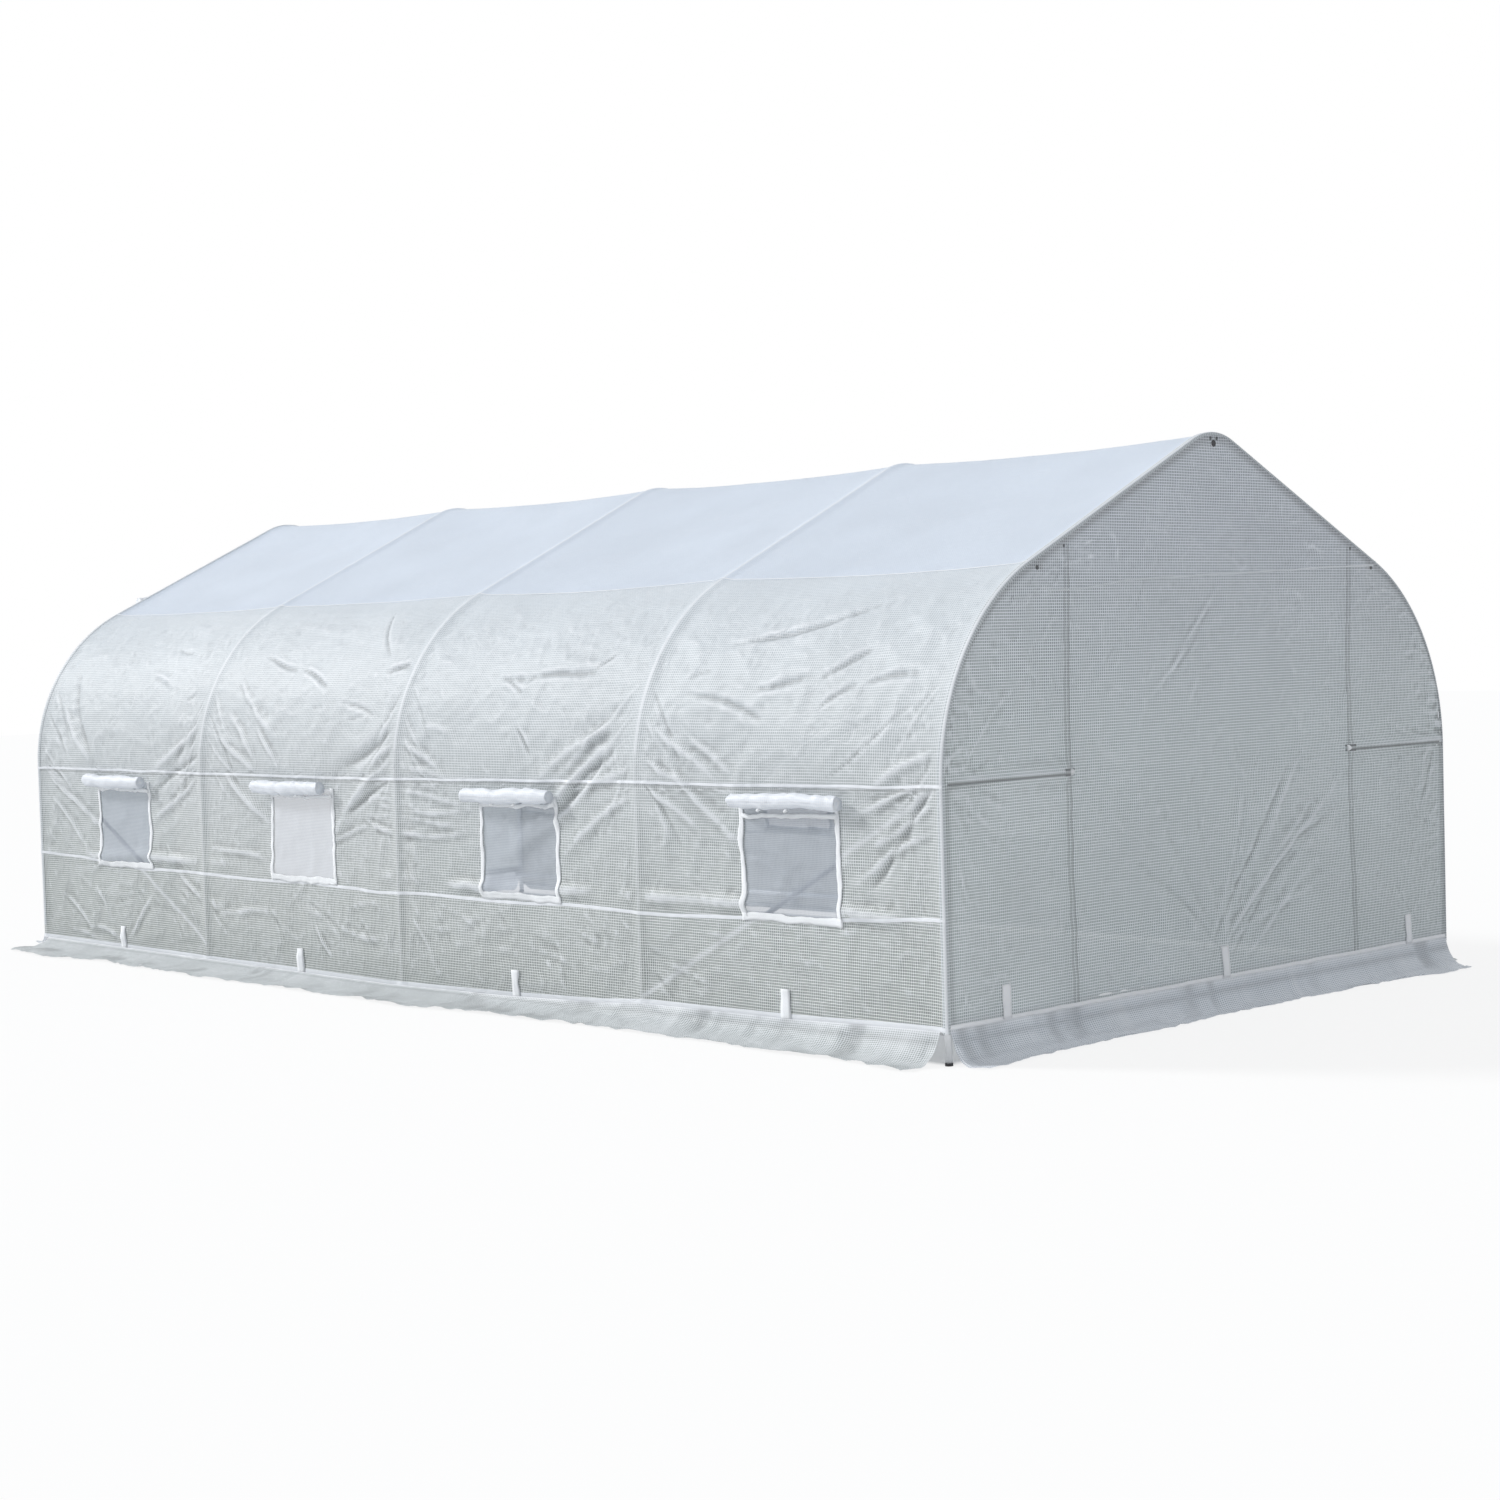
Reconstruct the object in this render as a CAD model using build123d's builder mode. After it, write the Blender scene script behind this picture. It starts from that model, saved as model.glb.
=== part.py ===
from build123d import *

import os
from math import cos, radians, sin, sqrt, tan

# Polytunnel greenhouse: five galvanised hoops, lengthways rails, a woven film cover and end walls.
# Millimetres. X runs along the tunnel, the door end is at -X, -Y is the left side, +Z is up.
# The origin is on the ground under the middle of the tunnel.

# Overall layout
tunnel_length = 6000.0
hoop_count = 5
leg_spacing = 2975.0
tube_radius = 12.5
tube_wall = 1.5
tube_sides = 12

# Hoop outline, taken along the middle of the tube
bend_start = 895.0
bend_radius = 800.0
roof_pitch = 25.4
ridge_radius = 260.0

# Rails and end frames
base_rail_height = 104.0
end_rail_height = 140.0
waist_rail_height = 889.0
cross_rail_height = 915.0
shoulder_purlin_offset = 985.0
post_offset = 849.0
post_overlap = 20.0
rail_gap = 2.0

# Corner braces: thinner tube with its ends pressed flat
brace_radius = 9.5
brace_plate = 4.0
brace_pad_radius = 14.0
brace_flat_run = 40.0
brace_taper_run = 30.0
brace_top_inset = 37.5

# Cover
cover_thickness = 3.0
window_band_bottom = 420.0
side_skirt_top = 104.0
end_skirt_top = 120.0
side_skirt_reach = 197.0
end_skirt_reach = 117.0
side_skirt_flare = 70.0
end_skirt_flare = 50.0
skirt_bend_radius = 40.0
skirt_corner_radius = 45.0
skirt_corner_gap = 35.0

# Windows
window_width = 450.0
window_bottom = 445.0
window_top = 825.0
window_shift = 40.0
mesh_thickness = 1.5
border_width = 25.0
border_thickness = 2.0
flap_roll_radius = 25.0
flap_roll_length = 530.0
flap_roll_height = 842.0

# Doorway
door_width = 1500.0
door_height = 1620.0
door_roll_radius = 52.0
door_roll_length = 1580.0

# Ground straps sewn to the foot of the cover
strap_width = 26.0
strap_thickness = 3.0
side_strap_span = (105.0, 180.0)
end_strap_span = (121.0, 230.0)
end_strap_offset = 1217.0

os.makedirs("parts", exist_ok=True)

# Places worked out from the sizes above
leg_y = leg_spacing / 2
end_x = tunnel_length / 2
last_hoop_x = end_x - tube_radius
bay = 2 * last_hoop_x / (hoop_count - 1)
hoop_stations = [-last_hoop_x + bay * i for i in range(hoop_count)]
bay_centres = [(a + b) / 2 for a, b in zip(hoop_stations, hoop_stations[1:])]
bend_centre = Vector(leg_y - bend_radius, bend_start)
bend_turn = 90 - roof_pitch
rafter_foot = bend_centre + Vector(bend_radius, 0).rotate(Axis.Z, bend_turn)
ridge_tangent_y = ridge_radius * sin(radians(roof_pitch))
rafter_rise = (rafter_foot.X - ridge_tangent_y) * tan(radians(roof_pitch))
rafter_head = Vector(ridge_tangent_y, rafter_foot.Y + rafter_rise)
ridge_centre = Vector(0, rafter_head.Y - ridge_radius * cos(radians(roof_pitch)))
inner_face_y = leg_y - tube_radius
rail_y = inner_face_y - tube_radius
cover_inner = tube_radius
cover_outer = tube_radius + cover_thickness
wall_face_y = leg_y + cover_outer
wall_face_x = end_x + cover_thickness
post_x = last_hoop_x - 2 * tube_radius
sides = {"left": -1, "right": 1}


def save(part, name):
    """Label one finished node and write its file."""
    part.label = name
    export_step(part, f"parts/{name}.step")
    box = part.bounding_box()
    print(name, len(part.solids()), "solids", [round(v) for v in box.size])


def hoop_height(y):
    """Height of the middle of the rafter tube at a distance y from the ridge line."""
    return rafter_foot.Y + (rafter_foot.X - abs(y)) * tan(radians(roof_pitch))


def round_section(radius, mode=Mode.ADD):
    """Round outline drawn with few flats, so that crossing tubes seat on each other flat to flat."""
    return RegularPolygon(radius, tube_sides, major_radius=False, rotation=180 / tube_sides, mode=mode)


def tube(start, end, across=(1, 0, 0), open_bore=False):
    """Straight tube from one point to another, with one pair of flats facing the direction across."""
    run = Vector(end) - Vector(start)
    with BuildPart() as made:
        with BuildSketch(Plane(origin=start, x_dir=across, z_dir=run)):
            round_section(tube_radius)
            if open_bore:
                round_section(tube_radius - tube_wall, mode=Mode.SUBTRACT)
        extrude(amount=run.length)
    return made.part


def gather(pieces):
    """Several pieces that don't touch, kept as one node."""
    return Compound(children=list(pieces)) if len(pieces) > 1 else pieces[0]


def arc_tube(x, centre, radius, start_angle, turn):
    """Bent tube in the plane of a hoop: part of a ring about a centre given as (y, z)."""
    plane = Plane(origin=(x, centre.X, centre.Y), x_dir=(0, 1, 0), z_dir=(1, 0, 0))
    with BuildPart() as made:
        with BuildLine(plane) as path:
            CenterArc((0, 0), radius, start_angle, turn)
        with BuildSketch(Plane(origin=path.line @ 0, x_dir=(1, 0, 0), z_dir=path.line % 0)):
            round_section(tube_radius)
        sweep()
    return made.part


# Hoops: legs, shoulder bends, rafters and ridge bends
end_bends = {False: [], True: []}
for side, sign in sides.items():
    legs, bends, rafters = [], [], []
    for x in hoop_stations:
        legs.append(tube((x, sign * leg_y, 0), (x, sign * leg_y, bend_start), open_bore=True))
        centre = Vector(sign * bend_centre.X, bend_centre.Y)
        first_angle = 0 if sign > 0 else 180
        bends.append(arc_tube(x, centre, bend_radius, first_angle, sign * bend_turn))
        lower, upper = [(x, sign * point.X, point.Y) for point in (rafter_foot, rafter_head)]
        rafters.append(tube(lower, upper))
    end_bends[False].append(bends[0])
    end_bends[True].append(bends[-1])
    save(gather(legs), f"leg_tubes_{side}")
    save(gather(bends), f"shoulder_bends_{side}")
    save(gather(rafters), f"rafters_{side}")
first_angle = 90 - roof_pitch
ridge_bends = [arc_tube(x, ridge_centre, ridge_radius, first_angle, 2 * roof_pitch) for x in hoop_stations]
save(gather(ridge_bends), "ridge_bends")


def long_rail(y, z, across=(0, 1, 0)):
    """One lengthways rail: a tube for each bay, with its two ends held by the hoops."""
    starts = [-end_x] + [x + rail_gap / 2 for x in hoop_stations[1:-1]]
    stops = [x - rail_gap / 2 for x in hoop_stations[1:-1]] + [end_x]
    return gather([tube((a, y, z), (b, y, z), across) for a, b in zip(starts, stops)])


# Lengthways rails, bolted under or inside the hoops
ridge_top = ridge_centre.Y + ridge_radius
flat_half_width = tube_radius * tan(radians(180 / tube_sides))
ridge_inner_radius = ridge_radius - tube_radius
ridge_settle = ridge_inner_radius - sqrt(ridge_inner_radius**2 - flat_half_width**2)
save(long_rail(0, ridge_top - 2 * tube_radius - ridge_settle), "ridge_purlin")
shoulder_drop = 2 * tube_radius * Vector(-sin(radians(roof_pitch)), -cos(radians(roof_pitch)))
shoulder_on_hoop = shoulder_purlin_offset - shoulder_drop.X
for side, sign in sides.items():
    shoulder_z = hoop_height(shoulder_on_hoop) + shoulder_drop.Y
    down_the_roof = (0, sign * cos(radians(roof_pitch)), -sin(radians(roof_pitch)))
    save(long_rail(sign * shoulder_purlin_offset, shoulder_z, down_the_roof), f"shoulder_purlin_{side}")
    save(long_rail(sign * rail_y, waist_rail_height), f"waist_rail_{side}")
    save(long_rail(sign * rail_y, base_rail_height), f"base_rail_{side}")


def cross_tube(x, y_from, y_to, z):
    """Tube across an end frame, its ends shaped to the legs or bends that they meet."""
    with BuildPart() as made:
        with BuildSketch(Plane(origin=(x, y_from, z), x_dir=(1, 0, 0), z_dir=(0, y_to - y_from, 0))):
            round_section(tube_radius)
        extrude(amount=abs(y_to - y_from))
        with BuildSketch(Plane.XY.offset(z - 2 * tube_radius)):
            with Locations((x, leg_y), (x, -leg_y)):
                round_section(tube_radius)
        extrude(amount=4 * tube_radius, mode=Mode.SUBTRACT)
        for bend in end_bends[x > 0]:
            add(bend, mode=Mode.SUBTRACT)
    return made.part


# End frames: posts bolted inside the last hoops, short cross rails, and base rails
for end, x_sign in {"front": 1, "back": -1}.items():
    x = x_sign * last_hoop_x
    post_top = hoop_height(post_offset)
    feet = [(x_sign * post_x, s * post_offset, 0) for s in (-1, 1)]
    posts = [tube(foot, Vector(foot) + Vector(0, 0, post_top), open_bore=True) for foot in feet]
    save(gather(posts), f"end_posts_{end}")
    inner_y = post_offset - post_overlap
    rails = [cross_tube(x, s * inner_y, s * leg_y, cross_rail_height) for s in (-1, 1)]
    save(gather(rails), f"cross_rails_{end}")
save(cross_tube(last_hoop_x, -leg_y, leg_y, end_rail_height), "base_rail_front")
inner_y = post_offset - post_overlap
back_rails = [cross_tube(-last_hoop_x, s * inner_y, s * leg_y, end_rail_height) for s in (-1, 1)]
save(gather(back_rails), "base_rails_back")


def brace(top, bottom):
    """Diagonal brace between two points (x, y, z): round tube, tapering to flat drilled ends."""
    run = Vector(bottom) - Vector(top)
    along = run.normalized()
    section = Plane(origin=top, x_dir=(0, 0, 1), z_dir=run)
    sideways = Vector(0, 1, 0)
    flat = Plane(origin=top, x_dir=along, z_dir=sideways)
    with BuildPart() as made:
        with BuildSketch(section.offset(brace_flat_run + brace_taper_run)):
            round_section(brace_radius)
        extrude(amount=run.length - 2 * (brace_flat_run + brace_taper_run))
        for near, far in ((brace_flat_run, brace_flat_run + brace_taper_run),
                          (run.length - brace_flat_run, run.length - brace_flat_run - brace_taper_run)):
            with BuildSketch(section.offset(near)):
                round_section(brace_radius)
                scale(by=(brace_pad_radius / brace_radius, brace_plate / (2 * brace_radius), 1))
            with BuildSketch(section.offset(far)):
                round_section(brace_radius)
            loft(ruled=True)
        for distance, inward in ((0, brace_flat_run), (run.length, -brace_flat_run)):
            with BuildSketch(flat.offset(-brace_plate / 2)):
                with Locations((distance, 0)):
                    round_section(brace_pad_radius)
                with Locations((distance + inward / 2, 0)):
                    Rectangle(brace_flat_run, 2 * brace_pad_radius)
            extrude(amount=brace_plate)
    return made.part


# Corner braces, on the inner side of the rails in the two end bays
brace_y = rail_y - tube_radius - brace_plate / 2
for side, sign in sides.items():
    pair = []
    for x_sign in (-1, 1):
        top = (x_sign * (last_hoop_x - brace_top_inset), sign * brace_y, waist_rail_height)
        bottom = (x_sign * (last_hoop_x - bay), sign * brace_y, base_rail_height)
        pair.append(brace(top, bottom))
    save(gather(pair), f"corner_braces_{side}")


def mirrored_section(sign):
    """Plane across the tunnel at the door end, with its first direction towards one side."""
    return Plane(origin=(-sign * end_x, 0, 0), x_dir=(0, sign, 0), z_dir=(sign, 0, 0))


def roof_cover(sign):
    """Roof sheet from the ridge seam down to the shoulder seam."""
    ridge_point = Vector(0, ridge_top)
    slope_out = Vector(sin(radians(roof_pitch)), cos(radians(roof_pitch)))
    with BuildPart() as made:
        with BuildSketch(mirrored_section(sign)):
            with BuildLine():
                head_in = rafter_head + slope_out * cover_inner
                foot_in = rafter_foot + slope_out * cover_inner
                foot_out = rafter_foot + slope_out * cover_outer
                head_out = rafter_head + slope_out * cover_outer
                CenterArc(ridge_centre, ridge_radius + cover_inner, 90 - roof_pitch, roof_pitch)
                Line(head_in, foot_in)
                Line(foot_in, foot_out)
                Line(foot_out, head_out)
                CenterArc(ridge_centre, ridge_radius + cover_outer, 90 - roof_pitch, roof_pitch)
                Line(ridge_point + Vector(0, cover_inner), ridge_point + Vector(0, cover_outer))
            make_face()
        extrude(amount=tunnel_length)
    return made.part


def eave_cover(sign):
    """Curved sheet from the shoulder seam down to the waist seam."""
    with BuildPart() as made:
        with BuildSketch(mirrored_section(sign)):
            with BuildLine():
                inner = CenterArc(bend_centre, bend_radius + cover_inner, 0, bend_turn)
                outer = CenterArc(bend_centre, bend_radius + cover_outer, 0, bend_turn)
                Line(inner @ 0, outer @ 0)
                Line(inner @ 1, outer @ 1)
            make_face()
        extrude(amount=tunnel_length)
    return made.part


def wall_plane(sign):
    """Upright plane on the inside of a side cover: first direction along X, second up."""
    return Plane(origin=(0, sign * (leg_y + cover_inner), 0), x_dir=(-sign, 0, 0), z_dir=(0, sign, 0))


window_height = window_top - window_bottom
window_centres = [x + window_shift for x in bay_centres]


def window_places(sign):
    """Middles of the windows on the wall plane of one side."""
    return [(-sign * x, (window_top + window_bottom) / 2) for x in window_centres]


def window_band(sign):
    """Straight sheet of the side wall that holds the windows."""
    with BuildPart() as made:
        with BuildSketch(wall_plane(sign)):
            with Locations((0, (window_band_bottom + bend_start) / 2)):
                Rectangle(tunnel_length, bend_start - window_band_bottom)
            with Locations(*window_places(sign)):
                Rectangle(window_width, window_height, mode=Mode.SUBTRACT)
        extrude(amount=cover_thickness)
    return made.part


def lower_cover(sign):
    """Straight sheet of the side wall from the windows down to the base rail."""
    with BuildPart() as made:
        with BuildSketch(wall_plane(sign)):
            with Locations((0, (window_band_bottom + side_skirt_top) / 2)):
                Rectangle(tunnel_length, window_band_bottom - side_skirt_top)
        extrude(amount=cover_thickness)
    return made.part


def window_sheets(sign):
    """Insect mesh set in the window openings."""
    with BuildPart() as made:
        with BuildSketch(wall_plane(sign)):
            with Locations(*window_places(sign)):
                Rectangle(window_width, window_height)
        extrude(amount=mesh_thickness)
    return made.part


def window_borders(sign):
    """Webbing sewn round each window opening, on the outer face of the cover."""
    with BuildPart() as made:
        with BuildSketch(wall_plane(sign).offset(cover_thickness)):
            with Locations(*window_places(sign)):
                Rectangle(window_width + 2 * border_width, window_height + 2 * border_width)
                Rectangle(window_width, window_height, mode=Mode.SUBTRACT)
        extrude(amount=border_thickness)
    return made.part


def window_flaps(sign):
    """Window flaps rolled up over the openings."""
    roll_y = sign * (wall_face_y + border_thickness + flap_roll_radius)
    rolls = []
    for x in window_centres:
        with BuildPart() as roll:
            start = (x - flap_roll_length / 2, roll_y, flap_roll_height)
            with BuildSketch(Plane(origin=start, x_dir=(0, 1, 0), z_dir=(1, 0, 0))):
                round_section(flap_roll_radius)
            extrude(amount=flap_roll_length)
        rolls.append(roll.part)
    return gather(rolls)


def skirt(start, along, outwards, width, top, flare, reach):
    """Loose strip at the foot of the cover: it flares from the rail to the ground and lies flat beyond.

    start is the point on the ground under the inner face of the wall, and the strip runs along from it.
    """
    section = Plane(origin=start, x_dir=outwards, z_dir=along)
    up = 1 if section.y_dir.Z > 0 else -1
    thick = cover_thickness
    with BuildPart() as made:
        with BuildSketch(section):
            with BuildLine():
                under = FilletPolyline((0, up * top), (flare, 0), (reach, 0), radius=skirt_bend_radius)
                over = FilletPolyline((thick, up * top), (flare + thick / 2, up * thick), (reach, up * thick),
                                      radius=skirt_bend_radius - thick)
                Line(under @ 0, over @ 0)
                Line(under @ 1, over @ 1)
            make_face()
        extrude(amount=width)
        corners = made.edges().filter_by(Axis.Z).group_by(lambda e: round((e @ 0).dot(Vector(outwards)), 3))[-1]
        fillet(corners, skirt_corner_radius)
    return made.part


def side_skirt(sign):
    """Skirt along one long side."""
    half = end_x - skirt_corner_gap
    start = (-half, sign * (leg_y + cover_inner), 0)
    reach = side_skirt_reach + cover_thickness
    return skirt(start, (1, 0, 0), (0, sign, 0), 2 * half, side_skirt_top, side_skirt_flare, reach)


for side, sign in sides.items():
    save(roof_cover(sign), f"roof_cover_{side}")
    save(eave_cover(sign), f"eave_cover_{side}")
    save(window_band(sign), f"window_band_{side}")
    save(lower_cover(sign), f"lower_cover_{side}")
    save(window_sheets(sign), f"window_mesh_{side}")
    save(window_borders(sign), f"window_borders_{side}")
    save(window_flaps(sign), f"window_flaps_{side}")
    save(side_skirt(sign), f"skirt_{side}")


def end_cover(x_sign, doorway):
    """Flat end wall with the outline of the cover, and the doorway cut out where there is one."""
    slope_out = Vector(sin(radians(roof_pitch)), cos(radians(roof_pitch)))
    face = Plane(origin=(x_sign * end_x, 0, 0), x_dir=(0, x_sign, 0), z_dir=(x_sign, 0, 0))
    with BuildPart() as made:
        with BuildSketch(face):
            with BuildLine():
                Line((0, end_skirt_top), (wall_face_y, end_skirt_top))
                Line((wall_face_y, end_skirt_top), (wall_face_y, bend_start))
                CenterArc(bend_centre, bend_radius + cover_outer, 0, bend_turn)
                Line(rafter_foot + slope_out * cover_outer, rafter_head + slope_out * cover_outer)
                CenterArc(ridge_centre, ridge_radius + cover_outer, 90 - roof_pitch, roof_pitch)
                Line((0, ridge_top + cover_outer), (0, end_skirt_top))
            make_face()
            mirror(about=Plane.YZ)
            if doorway:
                Rectangle(door_width, 2 * door_height, mode=Mode.SUBTRACT)
        extrude(amount=cover_thickness)
    return made.part


save(end_cover(1, False), "end_cover_front")
save(end_cover(-1, True), "end_cover_back")

# Door: webbing round the doorway and the rolled-up sheet over it
with BuildPart() as door_border:
    with BuildSketch(Plane(origin=(-wall_face_x, 0, 0), x_dir=(0, -1, 0), z_dir=(-1, 0, 0))):
        Rectangle(door_width + 2 * border_width, 2 * (door_height + border_width))
        Rectangle(door_width, 2 * door_height, mode=Mode.SUBTRACT)
        with Locations((0, end_skirt_top - door_height)):
            Rectangle(2 * door_width, 2 * door_height, mode=Mode.SUBTRACT)
    extrude(amount=border_thickness)
save(door_border.part, "door_border")

door_roll_x = -(wall_face_x + border_thickness + door_roll_radius)
with BuildPart() as door_roll:
    start = (door_roll_x, -door_roll_length / 2, door_height)
    with BuildSketch(Plane(origin=start, x_dir=(1, 0, 0), z_dir=(0, 1, 0))):
        round_section(door_roll_radius)
    extrude(amount=door_roll_length)
save(door_roll.part, "door_roll")


def end_skirt(x_sign, y_from, y_to):
    """Skirt along part of an end."""
    start = (x_sign * end_x, y_from, 0)
    reach = end_skirt_reach + cover_thickness
    return skirt(start, (0, 1, 0), (x_sign, 0, 0), y_to - y_from, end_skirt_top, end_skirt_flare, reach)


skirt_end = wall_face_y - skirt_corner_gap
save(end_skirt(1, -skirt_end, skirt_end), "skirt_front")
back_skirts = [end_skirt(-1, -skirt_end, -door_width / 2), end_skirt(-1, door_width / 2, skirt_end)]
save(gather(back_skirts), "skirt_back")


def strap(plane, across, span):
    """Short webbing strap on a wall face, at a place across the face and from one height to another."""
    with BuildPart() as made:
        with BuildSketch(plane):
            with Locations((across, sum(span) / 2)):
                Rectangle(strap_width, span[1] - span[0])
        extrude(amount=strap_thickness)
    return made.part


# Ground straps along both sides and both ends
side_faces = [wall_plane(sign).offset(cover_thickness) for sign in sides.values()]
straps = [strap(face, x, side_strap_span) for face in side_faces for x in bay_centres]
for x_sign in (-1, 1):
    face = Plane(origin=(x_sign * wall_face_x, 0, 0), x_dir=(0, x_sign, 0), z_dir=(x_sign, 0, 0))
    places = (-end_strap_offset, 0, end_strap_offset) if x_sign > 0 else (-end_strap_offset, end_strap_offset)
    straps += [strap(face, y, end_strap_span) for y in places]
save(gather(straps), "ground_straps")

print("ridge height over the cover", round(ridge_top + cover_outer))
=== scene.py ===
# %% [markdown]
# # A garden tunnel of film over bent tubes
# Five steel hoops stand in a row, long rails tie them together, and a woven plastic film is pulled over them.
# The frame was packed from the CAD model. This lesson puts film, net, webbing and zinc on it.
# Everything is in metres: X runs along the tunnel, the door end is at -X, and the side at -Y is the left one.

import bmesh
import bpy
import numpy as np
from mathutils import Matrix, Vector


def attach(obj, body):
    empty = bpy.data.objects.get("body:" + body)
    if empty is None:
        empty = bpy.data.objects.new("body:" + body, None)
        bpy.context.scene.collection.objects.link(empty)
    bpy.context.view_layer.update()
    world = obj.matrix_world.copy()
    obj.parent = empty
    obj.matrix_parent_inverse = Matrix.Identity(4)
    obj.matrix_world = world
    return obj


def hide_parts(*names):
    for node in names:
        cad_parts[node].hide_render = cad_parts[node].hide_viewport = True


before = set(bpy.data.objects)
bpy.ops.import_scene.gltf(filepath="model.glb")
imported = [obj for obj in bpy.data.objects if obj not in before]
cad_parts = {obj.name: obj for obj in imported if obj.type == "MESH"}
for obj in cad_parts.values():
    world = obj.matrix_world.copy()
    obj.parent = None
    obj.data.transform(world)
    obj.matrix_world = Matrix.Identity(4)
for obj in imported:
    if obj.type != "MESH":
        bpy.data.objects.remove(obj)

scene = bpy.context.scene
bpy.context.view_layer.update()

# %% [markdown]
# ## Sizes
# The film must lie on the tubes, so the same sizes are used for both. Typing them once at the top keeps the
# two together. A hoop is a leg, a wide shoulder bend, a straight rafter and a small bend at the ridge. Two
# lines of the film run unevenly along the tunnel, so their heights are short lists of places: the base hem,
# which droops towards the door end, and the weld at the waist.

# %% Sizes of the frame
half_length = 3.0
hoop_x = np.linspace(-2.9875, 2.9875, 5)
bay = hoop_x[1] - hoop_x[0]
strap_x = (hoop_x[:-1] + hoop_x[1:]) / 2
window_x = strap_x + 0.040
tube_radius = 0.0125
tube_width = 0.025
leg_y = 1.4875
bend_start = 0.895
bend_radius = 0.8
pitch = np.radians(25.4)
ridge_radius = 0.26
film_offset = 0.0142
base_z = 0.104
end_base_z = 0.120
end_rail_z = 0.14
waist_z = 0.889
cross_rail_z = 0.915
shoulder_y = 0.985
lower_top_z = 0.42
end_film_lift = 0.0017
window_half = 0.225
window_low, window_high = 0.445, 0.825
door_half, door_height = 0.75, 1.62
post_y = 0.849
skirt_half, end_skirt_half = 2.965, 1.494
end_strap_y = 1.217
sides = {"left": -1, "right": 1}
end_names = {1: "front", -1: "back"}
end_rails = {1: "base_rail_front", -1: "base_rails_back"}
hem_x = [-3.0, -1.4, -0.1, 0.66, 1.26, 1.5, 2.24, 2.8, 3.0]
hem_z = [0.045, 0.037, 0.032, 0.046, 0.066, 0.084, 0.092, 0.108, 0.112]
seam_x = [-3.0, -1.3, -0.4, 0.22, 1.2, 1.52, 2.0, 2.43, 2.83, 3.0]
seam_z = [0.882, 0.876, 0.872, 0.880, 0.889, 0.893, 0.889, 0.894, 0.900, 0.905]
print("hoops at", hoop_x.round(3))

# %% [markdown]
# ## One outline for hoops and film
# The hoop and the film over it have the same outline, only at another distance from the middle of the tube.
# One function of the way along the hoop, starting at the ridge, therefore serves for both. It also gives the
# outward direction, along which folds are pushed later.

# %% The hoop's outline
foot_y = leg_y - bend_radius + bend_radius * np.sin(pitch)
foot_z = bend_start + bend_radius * np.cos(pitch)
head_y = ridge_radius * np.sin(pitch)
head_z = foot_z + (foot_y - head_y) * np.tan(pitch)
ridge_centre_z = head_z - ridge_radius * np.cos(pitch)
rafter_from = ridge_radius * pitch
rafter_to = rafter_from + (foot_y - head_y) / np.cos(pitch)
bend_to = rafter_to + bend_radius * (np.pi / 2 - pitch)
base_way = bend_to + bend_start - base_z
shoulder_z = foot_z + (foot_y - shoulder_y - tube_width * np.sin(pitch)) * np.tan(pitch)
shoulder_z = shoulder_z - tube_width * np.cos(pitch)


def hoop_outline(way, offset=0.0):
    """Point (y, z) and outward direction at a way down the hoop from the ridge.

    Ridge: a circle. Rafter: a straight slope. Shoulder: a larger circle. Leg: straight down.
    Each point is then moved outwards by the offset.
    """
    way = np.asarray(way, float)
    turn = np.where(way < rafter_from, way / ridge_radius, pitch)
    turn = np.where(way > rafter_to, pitch + (way - rafter_to) / bend_radius, turn)
    turn = np.minimum(turn, np.pi / 2)
    out_y, out_z = np.sin(turn), np.cos(turn)
    down = way - rafter_from
    y = np.where(way < rafter_from, ridge_radius * out_y, head_y + down * np.cos(pitch))
    z = np.where(way < rafter_from, ridge_centre_z + ridge_radius * out_z, head_z - down * np.sin(pitch))
    bent = way > rafter_to
    y = np.where(bent, leg_y - bend_radius + bend_radius * out_y, y)
    z = np.where(bent, bend_start + bend_radius * out_z, z)
    z = np.where(way > bend_to, bend_start - (way - bend_to), z)
    return y + out_y * offset, z + out_z * offset, out_y, out_z


def way_at(z):
    """Way down the hoop at a height on the straight leg."""
    return bend_to + bend_start - z


print("from ridge to ground", round(float(way_at(0)), 3))

# %% [markdown]
# ## From a grid of points to a mesh
# Every new piece is a surface: a grid of points with a face between each four neighbours. Closed pieces such
# as tubes wrap round in one direction, and their end rings shrink to a point, whose copies are then merged.

# %% Grid to mesh
def grid_faces(rows, columns, wrap, first):
    """Corner numbers of the faces between neighbouring points, wrapped round the second direction if asked."""
    number = first + np.arange(rows * columns).reshape(rows, columns)
    if wrap:
        number = np.concatenate([number, number[:, :1]], axis=1)
    corners = [number[:-1, :-1], number[:-1, 1:], number[1:, 1:], number[1:, :-1]]
    return np.stack(corners, axis=-1)


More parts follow.
